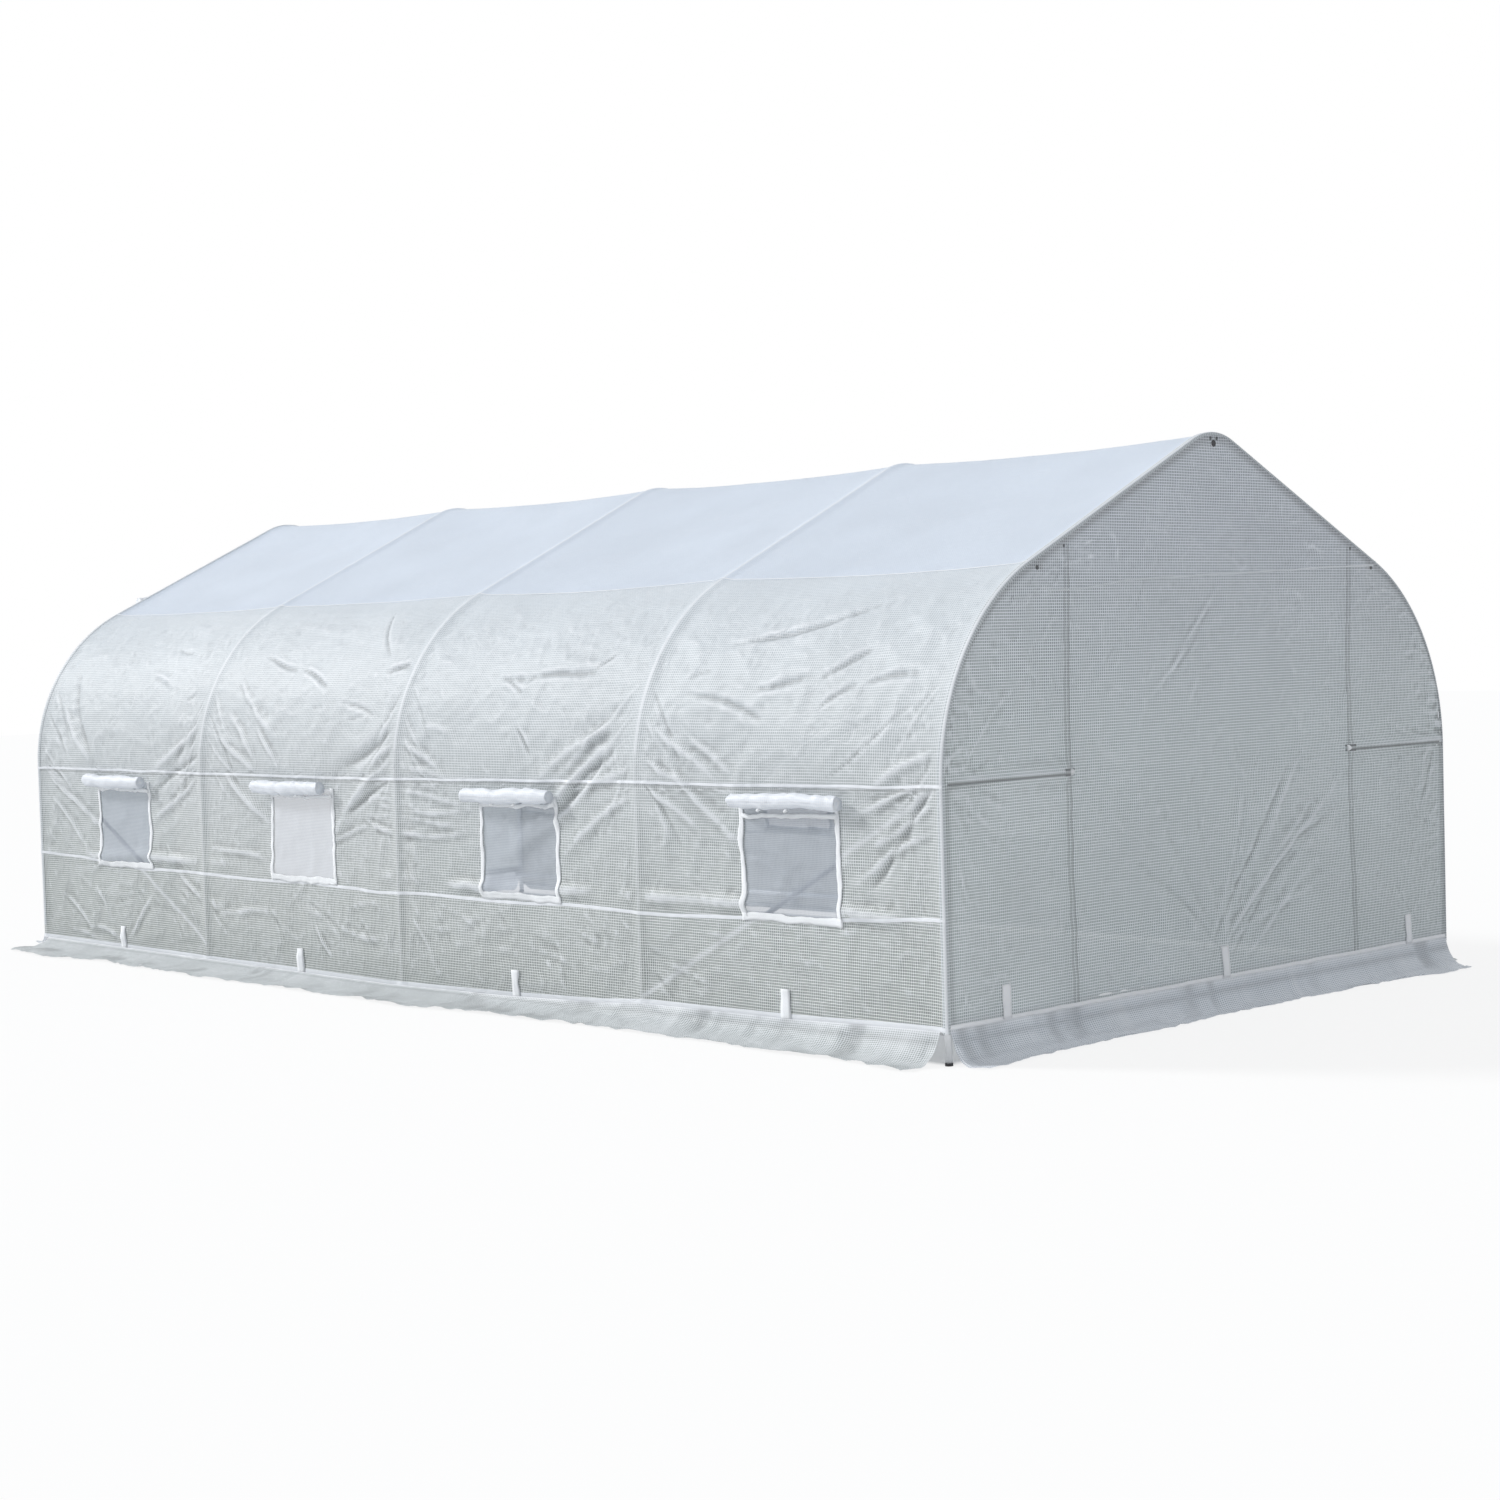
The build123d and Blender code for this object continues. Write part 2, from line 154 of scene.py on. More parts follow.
def make_piece(name, grids, material, nodes=(), merge=False, thickness=0.0):
    """One object out of one or more grids, riding on the frame and standing for CAD nodes.

    A grid is a dictionary: points (rows, columns, 3), and if wanted uv (rows, columns, 2), wrap, flip,
    keep (faces to keep) and marks (named values at the points).
    """
    points, faces, uvs, marks, first = [], [], [], {}, 0
    for grid in grids:
        rows, columns = grid["points"].shape[:2]
        face = grid_faces(rows, columns, grid.get("wrap", False), first)
        face = face[grid["keep"]] if "keep" in grid else face.reshape(-1, 4)
        faces.append(face[:, ::-1] if grid.get("flip", False) else face)
        points.append(grid["points"].reshape(-1, 3))
        uv = grid.get("uv", grid["points"][..., :2])
        uvs.append(np.asarray(uv, float).reshape(-1, 2))
        for mark in ("press", "crease", "shade"):
            value = grid.get("marks", {}).get(mark, np.zeros((rows, columns)))
            marks.setdefault(mark, []).append(np.broadcast_to(value, (rows, columns)).ravel())
        first += rows * columns
    points, faces, uvs = np.concatenate(points), np.concatenate(faces), np.concatenate(uvs)
    mesh = bpy.data.meshes.new(name)
    mesh.from_pydata(points, [], faces)
    mesh.uv_layers.new(name="cloth").data.foreach_set("uv", uvs[faces.ravel()].ravel())
    for mark, values in marks.items():
        layer = mesh.attributes.new(mark, "FLOAT", "POINT")
        layer.data.foreach_set("value", np.concatenate(values).astype(np.float32))
    mesh.shade_smooth()
    if merge:
        work = bmesh.new()
        work.from_mesh(mesh)
        bmesh.ops.remove_doubles(work, verts=work.verts, dist=2e-5)
        bmesh.ops.dissolve_degenerate(work, dist=1e-6, edges=work.edges)
        work.to_mesh(mesh)
        work.free()
    piece = bpy.data.objects.new(name, mesh)
    scene.collection.objects.link(piece)
    piece.data.materials.append(material)
    if thickness:
        wall = piece.modifiers.new("thickness", "SOLIDIFY")
        wall.thickness, wall.offset = thickness, 0
    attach(piece, "root")
    if nodes:
        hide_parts(*nodes)
    print(name, len(mesh.polygons), "faces")
    return piece


# %% [markdown]
# ## Node groups
# Film, webbing and net are all woven, and film, webbing and zinc all vary a little over their surface. Small
# groups hold these effects, so that each material only sets its own values. A wrinkle is a thin line where a
# smooth noise passes its middle value. On an end wall, one group paints the shade of the posts and rails that
# touch it as dark lines, and the plugs as dark dots.

# %% Helpers for node trees
def new_group(name, inputs, outputs):
    """A shader node group with named inputs (kind, value) and outputs."""
    tree = bpy.data.node_groups.new(name, "ShaderNodeTree")
    for socket, (kind, value) in inputs.items():
        made = tree.interface.new_socket(socket, in_out="INPUT", socket_type=kind)
        if value is not None:
            made.default_value = value
    for socket, kind in outputs.items():
        tree.interface.new_socket(socket, in_out="OUTPUT", socket_type=kind)
    return tree, tree.nodes.new("NodeGroupInput"), tree.nodes.new("NodeGroupOutput")


def math(tree, operation, *values):
    """A Math node; each value is a number or a socket."""
    node = tree.nodes.new("ShaderNodeMath")
    node.operation = operation
    for socket, value in zip(node.inputs, values):
        if isinstance(value, (int, float)):
            socket.default_value = value
        else:
            tree.links.new(value, socket)
    return node.outputs[0]


def blend_colours(tree, amount, first, second, mode="MIX"):
    """A colour Mix node; each colour is a tuple or a socket."""
    node = tree.nodes.new("ShaderNodeMix")
    node.data_type, node.blend_type = "RGBA", mode
    for socket, value in ((node.inputs[0], amount), (node.inputs[6], first), (node.inputs[7], second)):
        if hasattr(value, "is_linked"):
            tree.links.new(value, socket)
        else:
            socket.default_value = value if isinstance(value, float) else (*value, 1.0)
    return node.outputs[2]


# %% The weave group
weave, given, result = new_group("weave", {
    "Vector": ("NodeSocketVector", None),
    "Threads per metre": ("NodeSocketFloat", 100.0),
    "Thread share": ("NodeSocketFloat", 0.3),
}, {"Threads": "NodeSocketFloat", "Height": "NodeSocketFloat"})
split = weave.nodes.new("ShaderNodeSeparateXYZ")
weave.links.new(given.outputs["Vector"], split.inputs[0])
lines, rounds = [], []
for axis in ("X", "Y"):
    run = math(weave, "MULTIPLY", split.outputs[axis], given.outputs["Threads per metre"])
    away = math(weave, "PINGPONG", run, 0.5)
    soft = math(weave, "SUBTRACT", math(weave, "MULTIPLY", given.outputs["Thread share"], 0.5), away)
    lines.append(math(weave, "SMOOTH_MAX", math(weave, "MULTIPLY", soft, 14.0), 0.0, 0.05))
    rounds.append(math(weave, "COSINE", math(weave, "MULTIPLY", away, 6.283)))
line = math(weave, "MINIMUM", math(weave, "MAXIMUM", lines[0], lines[1]), 1.0)
weave.links.new(line, result.inputs["Threads"])
weave.links.new(math(weave, "MAXIMUM", rounds[0], rounds[1]), result.inputs["Height"])

# %% The mottle group
mottle, given, result = new_group("mottle", {
    "Vector": ("NodeSocketVector", None),
    "Size": ("NodeSocketFloat", 3.0),
    "Strength": ("NodeSocketFloat", 0.1),
}, {"Tone": "NodeSocketFloat", "Fine": "NodeSocketFloat"})
for output, factor, detail in (("Tone", 1.0, 4.0), ("Fine", 14.0, 3.0)):
    noise = mottle.nodes.new("ShaderNodeTexNoise")
    noise.inputs["Detail"].default_value = detail
    mottle.links.new(given.outputs["Vector"], noise.inputs["Vector"])
    mottle.links.new(math(mottle, "MULTIPLY", given.outputs["Size"], factor), noise.inputs["Scale"])
    shift = math(mottle, "MULTIPLY", math(mottle, "SUBTRACT", noise.outputs["Fac"], 0.5),
                 given.outputs["Strength"])
    mottle.links.new(math(mottle, "ADD", 1.0, shift), result.inputs[output])

# %% The wrinkle group
wrinkle, given, result = new_group("wrinkle", {"Vector": ("NodeSocketVector", None)},
                                   {"Ridge": "NodeSocketFloat"})
stretch = wrinkle.nodes.new("ShaderNodeVectorMath")
stretch.operation = "MULTIPLY"
stretch.inputs[1].default_value = (1.0, 1.7, 1.0)
wrinkle.links.new(given.outputs["Vector"], stretch.inputs[0])
noises = []
for scale, distortion in ((7.0, 0.6), (17.0, 0.3), (2.3, 0.0)):
    noise = wrinkle.nodes.new("ShaderNodeTexNoise")
    noise.inputs["Scale"].default_value = scale
    noise.inputs["Detail"].default_value = 1.0
    noise.inputs["Distortion"].default_value = distortion
    wrinkle.links.new(stretch.outputs[0], noise.inputs["Vector"])
    noises.append(noise.outputs["Fac"])
ridges = []
for noise, sharp in ((noises[0], 26.0), (noises[1], 16.0)):
    away = math(wrinkle, "ABSOLUTE", math(wrinkle, "SUBTRACT", noise, 0.5))
    edge = math(wrinkle, "SUBTRACT", 1.0, math(wrinkle, "MULTIPLY", away, sharp))
    ridges.append(math(wrinkle, "MAXIMUM", edge, 0.0))
patch = math(wrinkle, "MULTIPLY", math(wrinkle, "SUBTRACT", noises[2], 0.40), 5.0)
patch = math(wrinkle, "MINIMUM", math(wrinkle, "MAXIMUM", patch, 0.12), 1.0)
ridge = math(wrinkle, "MAXIMUM", ridges[0], math(wrinkle, "MULTIPLY", ridges[1], 0.6))
wrinkle.links.new(math(wrinkle, "MULTIPLY", ridge, patch), result.inputs["Ridge"])


# %% The group that paints shade on an end wall where tubes stand behind it
def stripe(tree, value, centre, half, soft=0.002):
    """1 where a value is within half of a centre, falling to 0 over the soft margin."""
    ramp = tree.nodes.new("ShaderNodeMapRange")
    tree.links.new(math(tree, "ABSOLUTE", math(tree, "SUBTRACT", value, centre)), ramp.inputs["Value"])
    ramp.inputs["From Min"].default_value, ramp.inputs["From Max"].default_value = half, half + soft
    ramp.inputs["To Min"].default_value, ramp.inputs["To Max"].default_value = 1.0, 0.0
    return ramp.outputs[0]


def darkest(tree, *shades):
    """The largest of several (mask, strength) products."""
    products = [math(tree, "MULTIPLY", mask, strength) for mask, strength in shades]
    largest = products[0]
    for product in products[1:]:
        largest = math(tree, "MAXIMUM", largest, product)
    return largest


behind, given, result = new_group("behind", {"Vector": ("NodeSocketVector", None)},
                                  {"Shade": "NodeSocketFloat"})
split = behind.nodes.new("ShaderNodeSeparateXYZ")
behind.links.new(given.outputs["Vector"], split.inputs[0])
across, up = math(behind, "ABSOLUTE", split.outputs["X"]), split.outputs["Y"]
# Painted shade: dark lines along the two edges of each post, along the rail and at the clips where they meet.
post_height = stripe(behind, up, 0.9, 0.78, 0.01)
post = darkest(behind, (stripe(behind, across, post_y - 0.0105, 0.0015, 0.003), 0.50),
               (stripe(behind, across, post_y + 0.0105, 0.0015, 0.003), 0.38),
               (stripe(behind, across, post_y, 0.0105), 0.10))
rail = math(behind, "MULTIPLY", stripe(behind, up, cross_rail_z - 0.006, 0.0020, 0.0035),
            stripe(behind, across, 1.165, 0.31))
clip = darkest(behind, (stripe(behind, up, 0.907, 0.0035, 0.003), 1.0),
               (stripe(behind, up, 0.924, 0.0030, 0.003), 1.0),
               (stripe(behind, up, 0.9155, 0.009), 0.35))
clip = math(behind, "MULTIPLY", clip, stripe(behind, across, 0.848, 0.030, 0.003))
shade = darkest(behind, (math(behind, "MULTIPLY", post, post_height), 1.0), (rail, 0.72), (clip, 0.80))
# Dark dots at the black plugs and at the tops of the posts.
dots = {"shoulder plug": (1.003, 1.608, 0.0070), "post top": (post_y + 0.012, 1.681, 0.0045),
        "ridge plug": (0.018, 2.072, 0.0055)}
for dot_y, dot_z, size in dots.values():
    square = math(behind, "ADD", math(behind, "POWER", math(behind, "SUBTRACT", across, dot_y), 2.0),
                  math(behind, "POWER", math(behind, "SUBTRACT", up, dot_z), 2.0))
    dot = stripe(behind, math(behind, "SQRT", square), 0.0, size, 0.003)
    shade = math(behind, "MAXIMUM", shade, dot)
behind.links.new(shade, result.inputs["Shade"])
print("groups", [tree.name for tree in bpy.data.node_groups])

# %% [markdown]
# ## Film
# The cover is a clear plastic film with a white net of threads inside. Between the threads it is greyish,
# because the inside of the tunnel shows through. It is whiter where it is pressed on a tube. Painted highlight
# makes it whiter along the hoops and on the ridges of folds, and painted shade makes it darker in their
# hollows, under the waist seam and where tubes stand behind an end wall.
# A little light passes straight through (Alpha), and more of it is scattered through (a Translucent shader).
# The threads follow the sheet's own UV map, which is in metres, so that they bend with the folds.

# %% Film material
film_threads_per_metre = 100.0
pale_and_highlight_colour = (0.88, 0.90, 0.93)


def film(name, cells, threads, low=None, fade=(0.0, 1.0), solid=0.9, share=0.32, pressed=0.8, through=0.25,
         wrinkled=1.0, shows=None):
    """Woven film: grey cells and pale threads, paler where pressed, with painted highlight on ridges and
    painted shade, partly clear.

    low holds the cells' and threads' colours at the far end of fade, two ways down the sheet. solid is how
    little is seen straight through, through the share of light that is scattered to the other side, and share
    the width of a thread in its cell. shows is a group that paints shade where tubes stand behind the sheet.
    """
    material = bpy.data.materials.new(name)
    material.use_nodes = True
    tree = material.node_tree
    shader = tree.nodes["Principled BSDF"]
    uv = tree.nodes.new("ShaderNodeUVMap")
    uv.uv_map = "cloth"
    grid = tree.nodes.new("ShaderNodeGroup")
    grid.node_tree = weave
    grid.inputs["Threads per metre"].default_value = film_threads_per_metre
    grid.inputs["Thread share"].default_value = share
    tone = tree.nodes.new("ShaderNodeGroup")
    tone.node_tree = mottle
    tone.inputs["Size"].default_value = 2.2
    tone.inputs["Strength"].default_value = 0.18
    tree.links.new(uv.outputs[0], grid.inputs["Vector"])
    tree.links.new(uv.outputs[0], tone.inputs["Vector"])
    fine = tree.nodes.new("ShaderNodeGroup")
    fine.node_tree = wrinkle
    tree.links.new(uv.outputs[0], fine.inputs["Vector"])
    ridge = math(tree, "MULTIPLY", fine.outputs["Ridge"], wrinkled)
    marks = {}
    for mark in ("press", "crease", "shade"):
        marks[mark] = tree.nodes.new("ShaderNodeAttribute")
        marks[mark].attribute_name = mark
    dark = marks["shade"].outputs["Fac"]
    if shows:
        seen = tree.nodes.new("ShaderNodeGroup")
        seen.node_tree = shows
        tree.links.new(uv.outputs[0], seen.inputs["Vector"])
        dark = math(tree, "MAXIMUM", dark, seen.outputs["Shade"])
    if low:
        place = tree.nodes.new("ShaderNodeSeparateXYZ")
        tree.links.new(uv.outputs[0], place.inputs[0])
        ramp = tree.nodes.new("ShaderNodeMapRange")
        tree.links.new(place.outputs["Y"], ramp.inputs["Value"])
        ramp.inputs["From Min"].default_value, ramp.inputs["From Max"].default_value = fade
        cells = blend_colours(tree, ramp.outputs[0], cells, low[0])
        threads = blend_colours(tree, ramp.outputs[0], threads, low[1])
    woven = blend_colours(tree, grid.outputs["Threads"], cells, threads)
    # Paler towards one colour where pressed on a tube, along wrinkle lines, and as painted highlight along the
    # hoops and on the ridges of folds.
    paler = math(tree, "MULTIPLY", marks["press"].outputs["Fac"], pressed)
    paler = math(tree, "MAXIMUM", paler, math(tree, "MULTIPLY", marks["crease"].outputs["Fac"], 0.62))
    paler = math(tree, "MAXIMUM", paler, math(tree, "MULTIPLY", ridge, 0.22))
    colour = blend_colours(tree, paler, woven, pale_and_highlight_colour)
    scale = tree.nodes.new("ShaderNodeVectorMath")
    scale.operation = "SCALE"
    tree.links.new(colour, scale.inputs[0])
    # Darker by the shade mark and the shows group: painted shade.
    darker = math(tree, "SUBTRACT", 1.0, math(tree, "MULTIPLY", dark, 0.80))
    tree.links.new(math(tree, "MULTIPLY", tone.outputs["Tone"], darker), scale.inputs["Scale"])
    tree.links.new(scale.outputs[0], shader.inputs["Base Color"])
    clear = math(tree, "ADD", solid, math(tree, "MULTIPLY", grid.outputs["Threads"], 0.9 * (1 - solid)))
    tree.links.new(clear, shader.inputs["Alpha"])
    shader.inputs["Roughness"].default_value = 0.50
    shader.inputs["Specular IOR Level"].default_value = 0.3
    bump = tree.nodes.new("ShaderNodeBump")
    bump.inputs["Strength"].default_value = 0.6
    bump.inputs["Distance"].default_value = 0.004
    height = math(tree, "ADD", math(tree, "MULTIPLY", grid.outputs["Height"], 0.05),
                  math(tree, "MULTIPLY", tone.outputs["Fine"], 3.0))
    height = math(tree, "ADD", height, math(tree, "MULTIPLY", ridge, 0.35))
    tree.links.new(height, bump.inputs["Height"])
    tree.links.new(bump.outputs[0], shader.inputs["Normal"])
    scattered = tree.nodes.new("ShaderNodeBsdfTranslucent")
    tree.links.new(scale.outputs[0], scattered.inputs["Color"])
    both = tree.nodes.new("ShaderNodeMixShader")
    both.inputs[0].default_value = through
    tree.links.new(shader.outputs[0], both.inputs[1])
    tree.links.new(scattered.outputs[0], both.inputs[2])
    tree.links.new(both.outputs[0], tree.nodes["Material Output"].inputs["Surface"])
    return material


lower_top = float(way_at(lower_top_z))
at_waist = ((0.45, 0.485, 0.49), (0.84, 0.86, 0.87))
under_windows = ((0.30, 0.33, 0.32), (0.85, 0.87, 0.86))
at_base = ((0.26, 0.285, 0.275), (0.83, 0.85, 0.83))
roof_film = film("roof_film", (0.70, 0.77, 0.87), (0.76, 0.82, 0.90), solid=0.93, pressed=0.7, wrinkled=0.35)
eave_film = film("eave_film", (0.66, 0.72, 0.77), (0.80, 0.84, 0.88), solid=0.92, low=at_waist,
                 fade=(float(rafter_to), float(bend_to)))
band_film = film("band_film", *at_waist, low=under_windows, fade=(float(bend_to), lower_top))
lower_film = film("lower_film", *under_windows, low=at_base, fade=(lower_top, float(base_way)))
end_film = film("end_film", (0.41, 0.46, 0.465), (0.94, 0.97, 0.98),
                low=((0.34, 0.365, 0.39), (0.84, 0.86, 0.90)), fade=(1.0, 1.7), solid=0.88, pressed=0.35,
                shows=behind)
skirt_film = film("skirt_film", (0.36, 0.395, 0.40), (0.82, 0.85, 0.87), solid=0.93, share=0.36)
end_skirt_film = film("end_skirt_film", (0.50, 0.545, 0.60), (0.90, 0.93, 0.97), solid=0.95, share=0.40)
hem_film = film("hem_film", (0.50, 0.54, 0.56), (0.84, 0.87, 0.89), solid=0.97)
rolled_film = film("rolled_film", (0.78, 0.82, 0.88), (0.88, 0.90, 0.93), solid=0.99, through=0.12)

# %% [markdown]
# ## Net, webbing, zinc and rubber
# The windows are fine grey net: its holes are too small to draw, so it lets light through evenly, with a faint
# weave. The hems and straps are white woven tape. The tubes are dull zinc with a soft blotchy gleam, and the
# plugs are black plastic. The corner braces get a darker copy of the zinc, which is painted shade, and the tape
# on the end walls gets a whiter copy, which is painted light against the shade there.

# %% Other materials
def plain(name, colour, roughness, metallic=0.0, size=20.0, strength=0.12, bump=0.0003, alpha=None,
          per_metre=None):
    """A solid finish with mottled colour and roughness, woven if a thread count is given."""
    material = bpy.data.materials.new(name)
    material.use_nodes = True
    tree = material.node_tree
    shader = tree.nodes["Principled BSDF"]
    place = tree.nodes.new("ShaderNodeUVMap" if per_metre else "ShaderNodeTexCoord")
    if per_metre:
        place.uv_map = "cloth"
    vector = place.outputs["UV" if per_metre else "Object"]
    tone = tree.nodes.new("ShaderNodeGroup")
    tone.node_tree = mottle
    tone.inputs["Size"].default_value = size
    tone.inputs["Strength"].default_value = strength
    tree.links.new(vector, tone.inputs["Vector"])
    tint, height = tone.outputs["Tone"], tone.outputs["Fine"]
    if per_metre:
        grid = tree.nodes.new("ShaderNodeGroup")
        grid.node_tree = weave
        grid.inputs["Threads per metre"].default_value = per_metre
        grid.inputs["Thread share"].default_value = 0.5
        tree.links.new(vector, grid.inputs["Vector"])
        light = math(tree, "ADD", 0.92, math(tree, "MULTIPLY", grid.outputs["Threads"], 0.16))
        tint, height = math(tree, "MULTIPLY", tint, light), grid.outputs["Height"]
    scale = tree.nodes.new("ShaderNodeVectorMath")
    scale.operation = "SCALE"
    scale.inputs[0].default_value = colour
    tree.links.new(tint, scale.inputs["Scale"])
    tree.links.new(scale.outputs[0], shader.inputs["Base Color"])
    rough = math(tree, "MULTIPLY", tone.outputs["Tone"], roughness)
    tree.links.new(rough, shader.inputs["Roughness"])
    shader.inputs["Metallic"].default_value = metallic
    relief = tree.nodes.new("ShaderNodeBump")
    relief.inputs["Distance"].default_value = bump
    tree.links.new(height, relief.inputs["Height"])
    tree.links.new(relief.outputs[0], shader.inputs["Normal"])
    if alpha is not None:
        clear = math(tree, "ADD", alpha, math(tree, "MULTIPLY", grid.outputs["Threads"], 0.12))
        tree.links.new(clear, shader.inputs["Alpha"])
    return material


net = plain("insect_net", (0.44, 0.475, 0.53), 0.8, alpha=0.53, per_metre=160.0, bump=0.0002)
tape = plain("white_tape", (0.88, 0.90, 0.92), 0.75, per_metre=400.0, size=30.0, strength=0.08)
# A whiter copy of the tape for the end walls: painted light against the shade there.
lit_end_tape = plain("lit_end_tape", (0.96, 0.97, 0.99), 0.75, per_metre=400.0, size=30.0, strength=0.06)
zinc = plain("zinc", (0.84, 0.86, 0.88), 0.38, metallic=0.25, size=26.0, strength=0.25)
# A darker copy of the zinc for the braces: painted shade, as they stand in shade inside the tunnel.
shaded_brace_zinc = plain("shaded_brace_zinc", (0.34, 0.36, 0.39), 0.38, metallic=0.25, size=26.0, strength=0.25)
black = plain("black_plastic", (0.03, 0.03, 0.035), 0.5, size=60.0)
print("materials", len(bpy.data.materials))

# %% [markdown]
# ## Folds in the film
# Film pulled over hoops sinks a little between them, and where it is short in one direction and slack in the
# other it draws into straight folds, which fan out from the places that hold it. It also keeps small sharp
# creases from its packing. Each is added up as a height over the sheet: hills, folds and crumples. One height
# function serves a whole side, so that neighbouring sheets meet along their seams.

# %% Hills, folds and crumples
def hills(u, v, cell, seed):
    """Smooth random hills: random heights on a square lattice, eased in between by 3t2 - 2t3."""
    table = np.random.default_rng(seed).uniform(-1, 1, (64, 64))
    p, q = u / cell, v / cell
    i, j = np.floor(p).astype(int), np.floor(q).astype(int)
    f, g = p - i, q - j
    f, g = f * f * (3 - 2 * f), g * g * (3 - 2 * g)

    def corner(a, b):
        return table[(i + a) % 64, (j + b) % 64]

    low = corner(0, 0) * (1 - f) + corner(1, 0) * f
    high = corner(0, 1) * (1 - f) + corner(1, 1) * f
    return low * (1 - g) + high * g


def crumple(u, v, cell, seed):
    """Sharp little valleys: the absolute value of hills has a crease wherever the hills cross zero."""
    first = 1 - 3 * np.abs(hills(u + 0.3 * v, v - 0.2 * u, cell, seed))
    second = 1 - 3 * np.abs(hills(u - 0.4 * v + 5, v + 0.3 * u, cell * 0.47, seed + 1))
    return np.clip(first, -0.6, 1) + 0.5 * np.clip(second, -0.6, 1)


def add_folds(height, u, v, folds):
    """Adds folds (u0, v0, u1, v1, width, height): a bell across with a dip on each side, and tapered ends.

    The line of a fold sways a little, by a sine of the way along it.
    """
    for u0, v0, u1, v1, width, tall in folds:
        length = np.hypot(u1 - u0, v1 - v0)
        du, dv = (u1 - u0) / length, (v1 - v0) / length
        near = (np.abs(u - (u0 + u1) / 2) < length / 2 + 0.1) & (np.abs(v - (v0 + v1) / 2) < length / 2 + 0.1)
        along = ((u[near] - u0) * du + (v[near] - v0) * dv) / length
        sway = 0.030 * length * np.sin(along * 4.5 + 40 * width * 3 + 900 * tall)
        across = (v[near] - v0) * du - (u[near] - u0) * dv - sway
        across = across / (width * (0.6 + 0.8 * np.clip(along, 0, 1)))
        taper = np.clip(np.sin(np.pi * np.clip(along, 0, 1)), 0, 1) ** 0.7
        height[near] += tall * taper * (np.exp(-np.abs(across)**1.5) - 0.45 * np.exp(-(across / 2.2)**2))
    return height


# %% [markdown]
# ## Where the photograph shows a fold
# The large folds of the left side and of the plain end lie where the photograph shows them. Their ends were
# read, in pixels, in four zoomed views of it. A pixel is a ray out of the camera, so the place on the
# film is where that ray first goes inside the film's outline. The camera itself is made at the end.

# %% The camera's place and directions
photo_pixels = 1500
focal_pixels = 2515
middle_pixel = (750, 753)
camera_at = np.array([8.427, -7.491, 1.371])
yaw, tilt, roll = np.radians([136.52, -2.41, -1.71])
camera_forward = np.array([np.cos(tilt) * np.cos(yaw), np.cos(tilt) * np.sin(yaw), np.sin(tilt)])
level = np.cross(camera_forward, (0, 0, 1))
level = level / np.linalg.norm(level)
upright = np.cross(level, camera_forward)
camera_right = np.cos(roll) * level + np.sin(roll) * upright
camera_up = -np.sin(roll) * level + np.cos(roll) * upright
print("camera at", camera_at)


# %% From a pixel to a place on the film
def ray(pixel_x, pixel_y):
    """Direction through a pixel: forward, plus as much to the right and down as it lies off the middle."""
    aside, down = (pixel_x - middle_pixel[0]) / focal_pixels, (pixel_y - middle_pixel[1]) / focal_pixels
    direction = camera_forward + aside * camera_right - down * camera_up
    return direction / np.linalg.norm(direction)


def film_at_height(z):
    """How far out a side's film is at a height, and the way down the hoop: the outline solved for z."""
    turn = np.arcsin(np.clip((z - bend_start) / (bend_radius + film_offset), 0, 1))
    y = np.where(z < bend_start, leg_y + film_offset,
                 leg_y - bend_radius + (bend_radius + film_offset) * np.cos(turn))
    way = np.where(z < bend_start, way_at(z), bend_to - bend_radius * turn)
    above = z - (foot_z + film_offset * np.cos(pitch))
    y = np.where(above > 0, foot_y + film_offset * np.sin(pitch) - above / np.tan(pitch), y)
    return y, np.where(above > 0, rafter_to - above / np.sin(pitch), way)


ray_steps = np.linspace(3, 20, 60000)


def place_on_side(pixel_x, pixel_y):
    """Place (x, way) on the left side: the first of many small steps along the ray that is inside the film."""
    points = camera_at + ray(pixel_x, pixel_y) * ray_steps[:, None]
    y, way = film_at_height(points[:, 2])
    first = np.argmax(-points[:, 1] < y)
    return points[first, 0], way[first]


def place_on_end(pixel_x, pixel_y):
    """Place (y, z) on the plain end, where the ray meets the plane of its film."""
    direction = ray(pixel_x, pixel_y)
    return (camera_at + direction * (half_length + 0.003 - camera_at[0]) / direction[0])[1:]


# %% The main folds
# The four views: the pixel of the photograph at their upper left corner, and how much larger they are.
views = {"near bay": (560, 480, 1568 / 440), "middle bays": (360, 540, 1568 / 440),
         "far bays": (30, 560, 1568 / 400), "end wall": (930, 520, 1568 / 400)}
